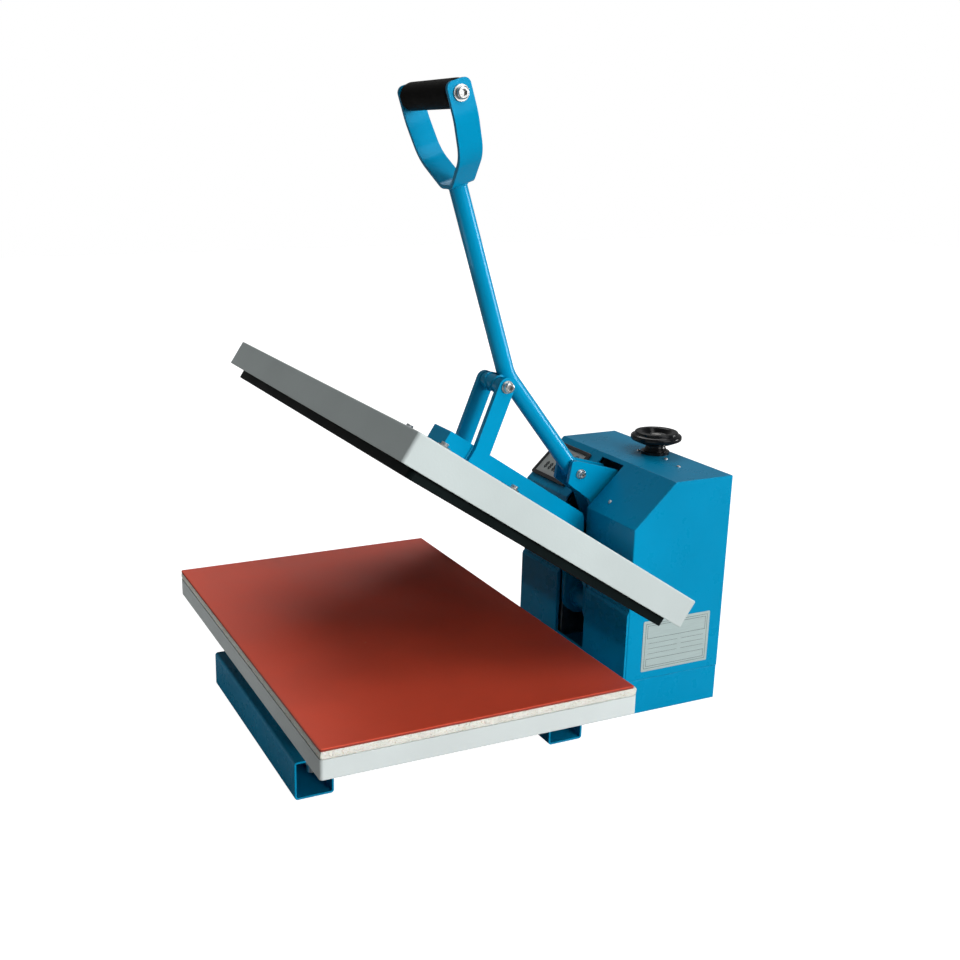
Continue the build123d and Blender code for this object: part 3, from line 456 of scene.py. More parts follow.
def printed_ink(name, colour):
    """Screen-printed dark ink, slightly thin in places."""
    finish = Finish(name, Specular_IOR_Level=0.35)
    thin = finish.noise(700.0, 3.0)
    tone = finish.blend(finish.spread(thin, 0.55, 0.8, 0.0, 0.5), colour, shade(colour, 3.0))
    gloss = finish.spread(thin, 0.3, 0.7, 0.4, 0.6)
    return finish.done(tone, gloss, finish.relief(thin, 0.1, 0.0001))


finishes = {}


def finish_named(name):
    """A finish that the finish operator has made."""
    if name not in finishes:
        raise RuntimeError(f"The finish {name} is made by the finish operator, which runs first")
    return finishes[name]


def slot_of(node):
    for part in frame["record"]["subparts"]:
        if part["node"] == node:
            return part["material_slot"]
    raise RuntimeError(f"The record names no slot for {node}")


def dress(node, material):
    """Give a CAD node a finish without touching its mesh."""
    piece = frame["nodes"][node]
    if not piece.material_slots:
        piece.data.materials.append(material)
    for place in piece.material_slots:
        place.material = material


# ---------------------------------------------------------------- geometry node trees

class Tree(Nodes):
    """A geometry node tree with named inputs, ending in realised and finished geometry."""

    def __init__(self, name):
        super().__init__(bpy.data.node_groups.new(name, "GeometryNodeTree"))
        for way in ("INPUT", "OUTPUT"):
            self.tree.interface.new_socket(
                "Geometry", in_out=way, socket_type="NodeSocketGeometry")
        self.entry = self.node("NodeGroupInput")
        self.exit = self.node("NodeGroupOutput")
        self.names = {}
        self.add_input("Finish", "NodeSocketMaterial")
        self.base = self.entry.outputs["Geometry"]

    def add_input(self, name, kind="NodeSocketFloat", default=None, subtype=None):
        socket = self.tree.interface.new_socket(name, in_out="INPUT", socket_type=kind)
        if subtype is not None:
            socket.subtype = subtype
        if default is not None:
            socket.default_value = default
        self.names[name] = socket.identifier
        return self.entry.outputs[name]

    def add_length(self, name, default):
        return self.add_input(name, default=default, subtype="DISTANCE")

    def vector(self, operation, first, second=None, scale=None):
        return self.node(
            "ShaderNodeVectorMath", {0: first, 1: second, "Scale": scale},
            operation=operation).outputs[0]

    def combine(self, x, y, z):
        return self.node("ShaderNodeCombineXYZ", {0: x, 1: y, 2: z}).outputs[0]

    def resampled(self, step):
        """The base's runs of edges as curves, with a point at every step."""
        curve = self.node("GeometryNodeMeshToCurve", {"Mesh": self.base})
        return self.node(
            "GeometryNodeResampleCurve", {"Curve": curve.outputs["Curve"], "Length": step},
            mode="LENGTH").outputs["Curve"]

    def aligned(self, way):
        """Rotation that turns Z to a direction."""
        return self.node(
            "FunctionNodeAlignRotationToVector", {"Vector": way}, axis="Z").outputs["Rotation"]

    def copies(self, points, instance, rotation, scale=None):
        return self.node("GeometryNodeInstanceOnPoints", {
            "Points": points, "Instance": instance, "Rotation": rotation,
            "Scale": scale}).outputs["Instances"]

    def joined(self, *parts):
        both = self.node("GeometryNodeJoinGeometry")
        for part in parts:
            self.feed(both.inputs["Geometry"], part)
        return both.outputs["Geometry"]

    def end(self, geometry, smooth=True):
        last = self.node("GeometryNodeRealizeInstances", {"Geometry": geometry})
        if smooth:
            last = self.node("GeometryNodeSetShadeSmooth", {"Geometry": last.outputs["Geometry"]})
        last = self.node("GeometryNodeSetMaterial", {
            "Geometry": last.outputs["Geometry"], "Material": self.entry.outputs["Finish"]})
        self.feed(self.exit.inputs["Geometry"], last.outputs["Geometry"])
        return self


def grow(name, tree, base, values, body, slot, sharp_degrees=None):
    """Run a tree on a base mesh and keep the result as a plain mesh on one body."""
    material = finish_named(slot)
    seedling = new_object(name + "_base", base)
    modifier = seedling.modifiers.new("Tree", "NODES")
    modifier.node_group = tree.tree
    modifier[tree.names["Finish"]] = material
    for label, value in values.items():
        modifier[tree.names[label]] = value
    bpy.context.view_layer.update()
    ready = seedling.evaluated_get(bpy.context.evaluated_depsgraph_get())
    mesh = bpy.data.meshes.new_from_object(ready)
    mesh.name = name
    seedling.modifiers.remove(modifier)
    bpy.data.objects.remove(seedling)
    if not mesh.polygons:
        raise RuntimeError(f"The tree gave no faces for {name}")
    mesh.materials.clear()
    if sharp_degrees is not None:
        mesh.set_sharp_from_angle(angle=math.radians(sharp_degrees))
    return settle(new_object(name, mesh, material), body)


def weld_tree():
    """Beads laid one over the next along a seam."""
    tree = Tree("weld_bead")
    pitch = tree.add_length("Ripple pitch", 0.0016)
    radius = tree.add_length("Bead radius", 0.0022)
    uneven = tree.add_input("Unevenness", default=0.12, subtype="FACTOR")
    seed = tree.add_input("Seed", "NodeSocketInt", 3)
    bead = tree.node("GeometryNodeMeshIcoSphere", {"Subdivisions": 2, "Radius": radius})
    along = tree.node("GeometryNodeInputTangent").outputs["Tangent"]
    size = tree.node("FunctionNodeRandomValue", {
        2: tree.math("SUBTRACT", 1.0, uneven), 3: tree.math("ADD", 1.0, uneven),
        "Seed": seed}, data_type="FLOAT").outputs[1]
    flattened = tree.math("MULTIPLY", size, 0.72)
    return tree.end(tree.copies(
        tree.resampled(pitch), bead.outputs["Mesh"], tree.aligned(along),
        tree.combine(size, size, flattened)))


def thread_tree():
    """Screw thread wound round straight runs: the run is bent to a helix and swept."""
    tree = Tree("screw_thread")
    pitch = tree.add_length("Pitch", 0.0015)
    radius = tree.add_length("Core radius", 0.0049)
    height = tree.add_length("Thread height", 0.0004)
    steps_a_turn = 18.0
    run = tree.resampled(tree.math("DIVIDE", pitch, steps_a_turn))
    along = tree.node("GeometryNodeSplineParameter").outputs["Length"]
    turn = tree.math("MULTIPLY", tree.math("DIVIDE", along, pitch), math.tau)
    normal = tree.node("GeometryNodeInputNormal").outputs["Normal"]
    tangent = tree.node("GeometryNodeInputTangent").outputs["Tangent"]
    beside = tree.vector("CROSS_PRODUCT", tangent, normal)
    out, over = (
        tree.vector("SCALE", way, scale=tree.math("MULTIPLY", tree.math(wave, turn), radius))
        for way, wave in ((normal, "COSINE"), (beside, "SINE")))
    wound = tree.node("GeometryNodeSetPosition", {
        "Geometry": run, "Offset": tree.vector("ADD", out, over)})
    ridge = tree.node("GeometryNodeCurvePrimitiveCircle", {"Resolution": 4, "Radius": height})
    swept = tree.node("GeometryNodeCurveToMesh", {
        "Curve": wound.outputs["Geometry"], "Profile Curve": ridge.outputs["Curve"],
        "Fill Caps": True})
    return tree.end(swept.outputs["Mesh"], smooth=False)


def screw_tree():
    """Pan-head screws with a cross recess, each turned by chance as a hand leaves it."""
    tree = Tree("pan_head_screw")
    radius = tree.add_length("Head radius", 0.0034)
    height = tree.add_length("Head height", 0.0022)
    cut = tree.add_length("Recess width", 0.0009)
    seed = tree.add_input("Seed", "NodeSocketInt", 5)
    dome = tree.node("GeometryNodeMeshUVSphere", {"Segments": 28, "Rings": 14, "Radius": 1.0})
    head = tree.node("GeometryNodeTransform", {
        "Geometry": dome.outputs["Mesh"], "Scale": tree.combine(radius, radius, height)})
    long = tree.math("MULTIPLY", radius, 1.15)
    bars = []
    for size in ((long, cut, height), (cut, long, height)):
        bar = tree.node("GeometryNodeMeshCube", {"Size": tree.combine(*size)})
        bars.append(tree.node("GeometryNodeTransform", {
            "Geometry": bar.outputs["Mesh"],
            "Translation": tree.combine(0.0, 0.0, height)}).outputs["Geometry"])
    sunk = tree.node("GeometryNodeMeshBoolean", {
        "Mesh 1": head.outputs["Geometry"], "Mesh 2": tree.joined(*bars),
        "Self Intersection": True}, operation="DIFFERENCE", solver="EXACT")
    aim = tree.node(
        "GeometryNodeInputNamedAttribute", {"Name": "aim"}, data_type="FLOAT_VECTOR")
    chance = tree.node(
        "FunctionNodeRandomValue", {3: math.pi, "Seed": seed}, data_type="FLOAT")
    spin = tree.node("FunctionNodeAxisAngleToRotation", {
        "Axis": (0.0, 0.0, 1.0), "Angle": chance.outputs[1]})
    turned = tree.node("FunctionNodeRotateRotation", {
        "Rotation": tree.aligned(aim.outputs["Attribute"]),
        "Rotate By": spin.outputs["Rotation"]}, rotation_space="LOCAL")
    return tree.end(tree.copies(
        tree.base, sunk.outputs["Mesh"], turned.outputs["Rotation"]))


def crumb_tree():
    """Torn crumbs and lips of foam scattered over the cut side walls."""
    tree = Tree("foam_crumbs")
    density = tree.add_input("Crumbs per square metre", default=90000.0)
    size = tree.add_length("Crumb size", 0.0006)
    seed = tree.add_input("Seed", "NodeSocketInt", 2)
    facing = tree.node("GeometryNodeInputNormal").outputs["Normal"]
    parts = tree.node("ShaderNodeSeparateXYZ", {"Vector": facing})
    upright = tree.math("LESS_THAN", tree.math("ABSOLUTE", parts.outputs["Z"]), 0.75)
    spots = tree.node("GeometryNodeDistributePointsOnFaces", {
        "Mesh": tree.base, "Selection": upright, "Density": density,
        "Seed": seed}, distribute_method="RANDOM")
    crumb = tree.node("GeometryNodeMeshIcoSphere", {"Subdivisions": 1, "Radius": size})
    chance = tree.node("FunctionNodeRandomValue", {
        0: (0.4, 0.4, 0.35), 1: (1.3, 1.3, 0.8), "Seed": seed}, data_type="FLOAT_VECTOR")
    laid = tree.copies(
        spots.outputs["Points"], crumb.outputs["Mesh"], spots.outputs["Rotation"],
        chance.outputs[0])
    return tree.end(tree.joined(tree.base, laid))


# ---------------------------------------------------------------- settings

class PressFinishSettings(PropertyGroup):
    blue: FloatVectorProperty(
        name="Blue paint", description="Powder coat of the arms, housing and frame",
        subtype="COLOR", size=3, min=0.0, max=1.0, default=(0.0, 0.227, 0.418))
    cover: FloatVectorProperty(
        name="Cover paint", description="Pale grey coat of the upper cover",
        subtype="COLOR", size=3, min=0.0, max=1.0, default=(0.475, 0.53, 0.525))
    tray: FloatVectorProperty(
        name="Tray paint", description="Off-white coat of the lower tray",
        subtype="COLOR", size=3, min=0.0, max=1.0, default=(0.535, 0.58, 0.575))
    mat: FloatVectorProperty(
        name="Silicone", description="Colour of the mat",
        subtype="COLOR", size=3, min=0.0, max=1.0, default=(0.76, 0.084, 0.039))
    foam: FloatVectorProperty(
        name="Foam", description="Colour of the pad under the mat",
        subtype="COLOR", size=3, min=0.0, max=1.0, default=(0.66, 0.65, 0.60))
    coat: FloatVectorProperty(
        name="Heater coat", description="Dark coat of the heating plate",
        subtype="COLOR", size=3, min=0.0, max=1.0, default=(0.004, 0.0075, 0.0075))
    peel: FloatProperty(
        name="Orange peel", description="Waves of the powder coat per metre",
        default=420.0, min=50.0, max=2000.0)


class PressPlatenSettings(PropertyGroup):
    corner: FloatProperty(
        name="Mat corner", description="Corner radius of the mat", default=0.003,
        min=0.0005, max=0.02, subtype="DISTANCE", unit="LENGTH")
    cell: FloatProperty(
        name="Mesh cell", description="Half the size of a mesh cell of the mat", default=0.0035,
        min=0.001, max=0.02, subtype="DISTANCE", unit="LENGTH")
    ragged: FloatProperty(
        name="Ragged edge", description="Depth of the torn foam edge", default=0.0011,
        min=0.0, max=0.003, subtype="DISTANCE", unit="LENGTH")
    crumb: FloatProperty(
        name="Crumb size", description="Radius of a crumb on the foam's edge", default=0.00065,
        min=0.0002, max=0.002, subtype="DISTANCE", unit="LENGTH")
    seed: IntProperty(name="Seed", description="Scatter of the crumbs", default=2, min=0)


class PressFastenerSettings(PropertyGroup):
    head_radius: FloatProperty(
        name="Screw head", description="Radius of a pan head", default=0.0029,
        min=0.001, max=0.01, subtype="DISTANCE", unit="LENGTH")
    head_height: FloatProperty(
        name="Screw rise", description="Height of a pan head", default=0.0021,
        min=0.0005, max=0.006, subtype="DISTANCE", unit="LENGTH")
    pitch: FloatProperty(
        name="Thread pitch", description="Rise of the stud threads in a turn", default=0.0015,
        min=0.0005, max=0.004, subtype="DISTANCE", unit="LENGTH")
    bead: FloatProperty(
        name="Weld bead", description="Radius of a weld bead", default=0.0022,
        min=0.001, max=0.006, subtype="DISTANCE", unit="LENGTH")
    ripple: FloatProperty(
        name="Weld ripple", description="Step from bead to bead", default=0.0017,
        min=0.0005, max=0.006, subtype="DISTANCE", unit="LENGTH")
    seed: IntProperty(name="Seed", description="Chance turns and sizes", default=5, min=0)


class PressLabelSettings(PropertyGroup):
    width: FloatProperty(
        name="Plate width", description="Width of the bare rating plate", default=0.110,
        min=0.02, max=0.15, subtype="DISTANCE", unit="LENGTH")
    height: FloatProperty(
        name="Plate height", description="Height of the bare rating plate", default=0.074,
        min=0.02, max=0.15, subtype="DISTANCE", unit="LENGTH")
    low: FloatProperty(
        name="Plate foot", description="Height of the plate's lower edge", default=0.061,
        min=0.0, max=0.3, subtype="DISTANCE", unit="LENGTH")
    behind: FloatProperty(
        name="Plate front", description="Row Y of the plate's front edge", default=0.193,
        min=0.0, max=0.4, subtype="DISTANCE", unit="LENGTH")
    digit: FloatProperty(
        name="Digit height", description="Height of a display digit", default=0.0102,
        min=0.004, max=0.02, subtype="DISTANCE", unit="LENGTH")


class PressStageSettings(PropertyGroup):
    key: FloatProperty(
        name="Key light", description="Strength of the low light from the right",
        default=2.9, min=0.0, max=10.0)
    glint: FloatProperty(
        name="Glint", description="Strength of the same light as gloss and metal show it",
        default=0.6, min=0.0, max=10.0)
    ceiling: FloatProperty(
        name="Ceiling lights", description="Strength of each of the two lights overhead",
        default=1.05, min=0.0, max=10.0)
    sky: FloatProperty(
        name="Room light", description="Strength of the even light all round",
        default=0.04, min=0.0, max=2.0)
    rim: FloatProperty(
        name="Rim light", description="Strength of the light from behind on the right",
        default=1.5, min=0.0, max=10.0)
    card: FloatProperty(
        name="Front card", description="Power of the low fill in front of the platen, in watts",
        default=1.3, min=0.0, max=20.0)
    distance: FloatProperty(
        name="Floor size", description="Side of the floor", default=14.0,
        min=2.0, max=60.0, subtype="DISTANCE", unit="LENGTH")


# ---------------------------------------------------------------- operators

class PRESS_OT_finishes(Operator):
    """Make every finish and give each part of the frame its own"""
    bl_idname = "press.finishes"
    bl_label = "Finishes"

    def execute(self, context):
        chosen = context.scene.press_finish
        blue, peel = tuple(chosen.blue), chosen.peel
        cover, tray = tuple(chosen.cover), tuple(chosen.tray)
        finishes.update({
            # The frame's copy of the blue is darkened a little, as painted shade on the base
            # tubes
            "frame_paint": powder_coat(
                "frame_blue", shade(blue, 0.92), 0.22, 0.36, peel, 0.0014, 0.5),
            "housing_paint": powder_coat("housing_blue", blue, 0.24, 0.36, peel, 0.0014, 0.55),
            "arm_paint": powder_coat("arm_blue", shade(blue, 1.02), 0.15, 0.26, peel * 0.7),
            # The cover's edges are paled most strongly, as a painted highlight along its top edge
            "cover_paint": powder_coat("cover_grey", cover, 0.34, 0.48, peel, 0.0018, 0.8),
            "tray_paint": powder_coat("tray_white", tray, 0.34, 0.48, peel, 0.0014, 0.6),
            "foam": foam("sponge_rubber", tuple(chosen.foam)),
            "silicone": silicone("red_silicone", tuple(chosen.mat)),
            "heater_coat": heater_coat("heater_coating", tuple(chosen.coat)),
            "wool": ceramic_wool("ceramic_wool", (0.72, 0.70, 0.64)),
            "zinc": zinc_plate("bright_zinc", (0.62, 0.63, 0.64), 0.34),
            "bolt_steel": zinc_plate("bolt_zinc", (0.74, 0.74, 0.73), 0.26),
            "bare_steel": bare_steel("turned_steel", (0.62, 0.61, 0.59)),
            "inner_steel": bare_steel("mill_steel", (0.34, 0.34, 0.35)),
            "knob_black": moulded(
                "knob_resin", (0.0035, 0.004, 0.005), 0.15, 0.20, 300.0, 0.01, 0.26),
            "grip_black": rubber_grip("grip_rubber", (0.0055, 0.005, 0.0045)),
            "bezel_black": moulded(
                "bezel_plastic", (0.012, 0.012, 0.013), 0.38, 0.50, 1600.0, 0.25),
            "panel_grey": moulded(
                "panel_plastic", (0.36, 0.37, 0.36), 0.40, 0.52, 1800.0, 0.20),
            "lcd": display_glass("display_field", (0.37, 0.39, 0.37)),
            "button_grey": moulded(
                "button_plastic", (0.10, 0.11, 0.12), 0.42, 0.55, 1500.0, 0.2),
            "switch_black": moulded(
                "switch_plastic", (0.014, 0.014, 0.015), 0.3, 0.42, 1400.0, 0.2),
            "rocker_red": moulded(
                "rocker_plastic", (0.42, 0.012, 0.010), 0.22, 0.32, 1200.0, 0.1),
            "plate_silver": anodised_plate("plate_silver", (0.46, 0.56, 0.55)),
            "plate_ink": printed_ink("plate_ink", (0.05, 0.07, 0.08)),
            "digit_ink": printed_ink("digit_ink", (0.012, 0.014, 0.016)),
        })
        for node in frame["nodes"]:
            dress(node, finish_named(slot_of(node)))
        return {"FINISHED"}


class PRESS_OT_mat(Operator):
    """Lay the silicone mat: cut edge, slightly rounded lip and a faintly uneven top"""
    bl_idname = "press.mat"
    bl_label = "Silicone mat"

    def execute(self, context):
        sizes = context.scene.press_platen
        low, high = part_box("mat")
        middle = node_place("mat")
        corner = sizes.corner
        lip, edge_wave, top_wave = 0.0006, 0.00025, 0.00022
        near, next_near = 0.0008, 0.0022

        def uneven(x, y, waves, layer):
            """Smooth chance value from nought to one."""
            return 0.5 + 0.5 * noise.noise(Vector((x * waves, y * waves, layer)))

        def cut_edge(x, y):
            """Draw a point in to the rounded corner and the hand-cut edge."""
            wave = edge_wave * uneven(x, y, 30, 4.0)
            reach_x, reach_y = (high.x - low.x) / 2 - wave, (high.y - low.y) / 2 - wave
            dx = max(-reach_x, min(reach_x, x - middle.x))
            dy = max(-reach_y, min(reach_y, y - middle.y))
            over_x = abs(dx) - (reach_x - corner)
            over_y = abs(dy) - (reach_y - corner)
            length = math.hypot(over_x, over_y)
            if over_x > 0 and over_y > 0 and length > corner:
                dx -= math.copysign(over_x * (1 - corner / length), dx)
                dy -= math.copysign(over_y * (1 - corner / length), dy)
            return middle.x + dx, middle.y + dy

        def lines(start, end):
            """Even lines with two more close to each end, for the corner and lip."""
            count = int((end - start) / (2 * sizes.cell))
            even = [start + (end - start) * step / count for step in range(1, count)]
            return [
                start, start + near, start + next_near, *even,
                end - next_near, end - near, end]

        work = bmesh.new()
        columns, rows = lines(low.x, high.x), lines(low.y, high.y)
        last_i, last_j = len(columns) - 1, len(rows) - 1
        top, bottom = [], []
        for j, y in enumerate(rows):
            top.append([])
            bottom.append([])
            for i, x in enumerate(columns):
                px, py = cut_edge(x, y)
                sunk = top_wave * uneven(x, y, 9, 1.7)
                if i in (0, last_i) or j in (0, last_j):
                    sunk += lip
                top[-1].append(work.verts.new((px, py, high.z - sunk)))
                bottom[-1].append(work.verts.new((px, py, low.z)))
        for j in range(last_j):
            for i in range(last_i):
                cell = ((j, i), (j, i + 1), (j + 1, i + 1), (j + 1, i))
                work.faces.new([top[row][column] for row, column in cell])
                under = (cell[0], *reversed(cell[1:]))
                work.faces.new([bottom[row][column] for row, column in under])
        rim = [(0, i) for i in range(last_i)]
        rim += [(j, last_i) for j in range(last_j)]
        rim += [(last_j, i) for i in range(last_i, 0, -1)]
        rim += [(j, 0) for j in range(last_j, 0, -1)]
        for here, there in zip(rim, rim[1:] + rim[:1]):
            work.faces.new((
                bottom[here[0]][here[1]], bottom[there[0]][there[1]],
                top[there[0]][there[1]], top[here[0]][here[1]]))
        mesh = mesh_from("mat_sheet", work, 50.0)
        piece = settle(new_object("mat_sheet", mesh, finish_named("silicone")), "base")
        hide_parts("mat")
        return {"FINISHED"}


def rounded_loop(low, high, corner, cell):
    """Points of a rounded rectangle, counter-clockwise, about one cell apart."""
    points = []
    corners = rounded_corners(low.x, low.y, high.x, high.y, corner)
    for index, (x, y, start) in enumerate(corners):
        arc = quarter(x, y, corner, start, 6)
        points.extend(arc)
        next_x, next_y = corners[(index + 1) % 4][:2]
        first = Vector(arc[-1])
        last = first + Vector((next_x - x, next_y - y))
        count = int((last - first).length / cell)
        points.extend(tuple(first.lerp(last, step / count)) for step in range(1, count))
    return points


def slab(low, high, corner, cell, profile, shape):
    """Closed slab from loops: profile gives (inset, share of height), shape moves a point."""
    work = bmesh.new()
    outer = rounded_loop(low, high, corner, cell)
    middle = Vector(((low.x + high.x) / 2, (low.y + high.y) / 2))
    loops = []
    for inset, share in profile:
        z = low.z + (high.z - low.z) * share
        loop = []
        for x, y in outer:
            way = Vector((x, y)) - middle
            spot = Vector((
                x - math.copysign(min(inset, abs(way.x)), way.x),
                y - math.copysign(min(inset, abs(way.y)), way.y),
                z))
            loop.append(work.verts.new(shape(spot, inset, share)))
        loops.append(loop)
    skin(work, loops)
    return work


class PRESS_OT_pad(Operator):
    """Cut the foam pad: torn open-celled side walls, drawn in a little at top and foot"""
    bl_idname = "press.pad"
    bl_label = "Foam pad"

    def execute(self, context):
        sizes = context.scene.press_platen
        low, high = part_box("pad")
        margin = Vector((sizes.crumb, sizes.crumb, 0.0))
        inner_low, inner_high = low + margin, high - margin
        middle = (low + high) / 2
        corner, cell = 0.002, 0.0011
        lip, rim, torn_band = 0.0008, 0.004, 0.003
        pit_depth, drawn_in = 0.0022, 0.0007
        rough_waves, pit_waves = 420.0, 190.0
        pit_shift = Vector((3.1, 0.0, 7.7))

        def tear(spot, inset, share):
            """Push a point of the wall in by chance; the flat faces stay."""
            rough = noise.fractal(spot * rough_waves, 1.0, 2.0, 3)
            pit = max(0.0, noise.noise(spot * pit_waves + pit_shift) - 0.25)
            pulled = drawn_in * (2 * share - 1) ** 2
            depth = sizes.ragged * (0.45 + 0.45 * rough) + pit_depth * pit + pulled
            depth = max(0.0, depth * max(0.0, 1.0 - inset / torn_band))
            way = spot - middle
            moved = spot.copy()
            if (inner_high.x - middle.x) - abs(way.x) < rim:
                moved.x -= math.copysign(depth, way.x)
            if (inner_high.y - middle.y) - abs(way.y) < rim:
                moved.y -= math.copysign(depth, way.y)
            return moved

        profile = [(rim, 0.0), (lip, 0.0)]
        profile += [(0.0, step / 9) for step in range(1, 9)]
        profile += [(lip, 1.0), (rim, 1.0)]
        work = slab(inner_low, inner_high, corner, cell, profile, tear)
        piece = grow(
            "pad_foam", crumb_tree(), mesh_from("pad_foam", work, 60.0),
            {"Crumbs per square metre": 110000.0, "Crumb size": sizes.crumb, "Seed": sizes.seed},
            "base", "foam")
        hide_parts("pad")
        return {"FINISHED"}


class PRESS_OT_screws(Operator):
    """Set the small pan-head screws of the housing and its rear panel"""
    bl_idname = "press.screws"
    bl_label = "Housing screws"

    def execute(self, context):
        sizes = context.scene.press_fasteners
        slant_along, slant_x = -0.0215, (-0.0405, 0.0586)
        on_top = ((-0.020, 0.2830), (0.035, 0.2900), (0.076, 0.2815))
        margin = 0.008
        low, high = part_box("rear_panel")
        left, right = low.x + margin, high.x - margin
        foot, head = low.z + margin, high.z - margin
        spots = [(on_slant(x, slant_along), SLANT_OUT) for x in slant_x]
        spots += [(Vector((x, y, HOUSING[1].z)), UP) for x, y in on_top]
        spots += [
            (Vector((x, high.y, z)), BACK)
            for x in (left, (low.x + high.x) / 2, right) for z in (foot, head)]
        spots += [(Vector((x, high.y, (low.z + high.z) / 2)), BACK) for x in (left, right)]
        grow(
            "housing_screws", screw_tree(), spot_mesh("housing_screws", spots),
            {"Head radius": sizes.head_radius, "Head height": sizes.head_height,
             "Recess width": sizes.head_radius * 0.28, "Seed": sizes.seed},
            "base", "zinc", 35.0)
        return {"FINISHED"}


class PRESS_OT_threads(Operator):
    """Wind the threads that show on the platen studs, head bolts and pressure screw"""
    bl_idname = "press.threads"
    bl_label = "Threads"

    def execute(self, context):
        sizes = context.scene.press_fasteners
        below_nut, above_nut, stud_top = 0.0395, 0.0585, 0.0930
        bolt_x, bolt_ahead, tail_foot, tail_top = 0.054, (0.373, 0.249), 0.1934, 0.1970
        screw_top = 0.3115
        tree = thread_tree()
        fine = {"Pitch": sizes.pitch, "Core radius": 0.0048, "Thread height": 0.00045}
        coarse = {"Pitch": 0.002, "Core radius": 0.0067, "Thread height": 0.0005}
        studs = []
        for row in ("front", "rear"):
            for side in ("left", "right"):
                stud = f"platen_stud_{row}_{side}"
                low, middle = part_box(stud)[0], node_place(stud)
                for start, end in ((low.z + 0.0004, below_nut), (above_nut, stud_top)):
                    studs.append(([(middle.x, middle.y, z) for z in (start, end)], False))
        tails = [
            ([raised(x, ahead, height) for height in (tail_foot, tail_top)], False)
            for x in (-bolt_x, bolt_x) for ahead in bolt_ahead]
        low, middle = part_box("pressure_screw")[0], node_place("pressure_screw")
        screw = [([(middle.x, middle.y, z) for z in (low.z + 0.001, screw_top)], False)]
        for name, runs, values, body, slot in (
                ("stud_threads", studs, fine, "base", "zinc"),
                ("head_bolt_threads", tails, fine, "head", "zinc"),
                ("pressure_threads", screw, coarse, "knob", "bare_steel")):
            grow(name, tree, path_mesh(name, runs), values, body, slot, 25.0)
        return {"FINISHED"}


def sleeve_seam(side):
    """The saddle line where the round handle tube meets one end of the cross sleeve."""
    tube_radius, sleeve_radius, proud, count = 0.012, 0.011, 0.0006, 40
    along = Vector((0.0, -0.42, 0.91)).normalized()
    beside = Vector((0.0, along.z, -along.y))
    sleeve = node_place("handle_sleeve")
    points = []
    for step in range(count):
        turn = math.tau * step / count
        over = sleeve_radius * math.cos(turn)
        reach = math.sqrt(max(tube_radius ** 2 - over ** 2, 0.0))
        points.append(
            sleeve + beside * over + along * (sleeve_radius * math.sin(turn))
            + Vector((side * (reach + proud), 0.0, 0.0)))
    return points


def spine_seam(low, high, y):
    """A run up one wall of a spine, over its rounded top and down the other wall."""
    foot, round_off, proud = 0.004, 0.004, 0.0003
    cut = round_off * 0.3
    half = [
        (low.x - proud, foot), (low.x - proud, high.z - round_off),
        (low.x + cut, high.z - cut + 0.0002), (low.x + round_off, high.z + proud)]
    run = [(x, y, z) for x, z in half]
    return run + [(low.x + high.x - x, y, z) for x, z in reversed(half)]


class PRESS_OT_welds(Operator):
    """Lay the weld beads of the handle, the head's carrier and the base frame"""
    bl_idname = "press.welds"
    bl_label = "Welds"

    def execute(self, context):
        sizes = context.scene.press_fasteners
        carrier_x, carrier_ahead, carrier_foot, carrier_top = 0.0244, 0.3176, 0.1834, 0.2130
        hinge_x, hinge_radius = 0.0236, 0.0174
        spine_inset = 0.0008
        tree = weld_tree()
        values = {
            "Ripple pitch": sizes.ripple, "Bead radius": sizes.bead, "Seed": sizes.seed}
        small = {
            "Ripple pitch": 0.0008, "Bead radius": 0.0016, "Unevenness": 0.06,
            "Seed": sizes.seed}
        sleeve = [(sleeve_seam(side), True) for side in (-1, 1)]
        foot = [(ring(HANDLE_TOP - HANDLE_WAY * 0.0004, HANDLE_WAY, 0.0120), True)]
        seams = []
        for side in (-1, 1):
            seams.append(([
                raised(side * carrier_x, carrier_ahead, height)
                for height in (carrier_foot, carrier_top)], False))
            hub = Vector((side * hinge_x, HINGE_Y, HINGE_Z))
            seams.append((ring(hub, Vector((1.0, 0.0, 0.0)), hinge_radius), True))
        joints = []
        for node, faces_back in (("spine_front", 0), ("spine_front", 1), ("spine_rear", 0)):
            low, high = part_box(node)
            y = (low.y + spine_inset, high.y - spine_inset)[faces_back]
            joints.append((spine_seam(low, high, y), False))
        for name, runs, chosen, body, slot in (
                ("handle_welds", sleeve, values, "handle", "arm_paint"),
                ("strap_weld", foot, small, "handle", "arm_paint"),
                ("head_welds", seams, values, "head", "arm_paint"),
                ("frame_welds", joints, values, "base", "frame_paint")):
            grow(name, tree, path_mesh(name, runs), chosen, body, slot)
        return {"FINISHED"}


def lay_strips(work, x, strips, thick):
    """Thin closed strips on the right wall, each from (y, z) to (y, z)."""
    for y0, z0, y1, z1 in strips:
        made = bmesh.ops.create_cube(work, size=1.0)["verts"]
        bmesh.ops.scale(work, verts=made, vec=(thick, y1 - y0, z1 - z0))
        bmesh.ops.translate(work, verts=made, vec=(x, (y0 + y1) / 2, (z0 + z1) / 2))


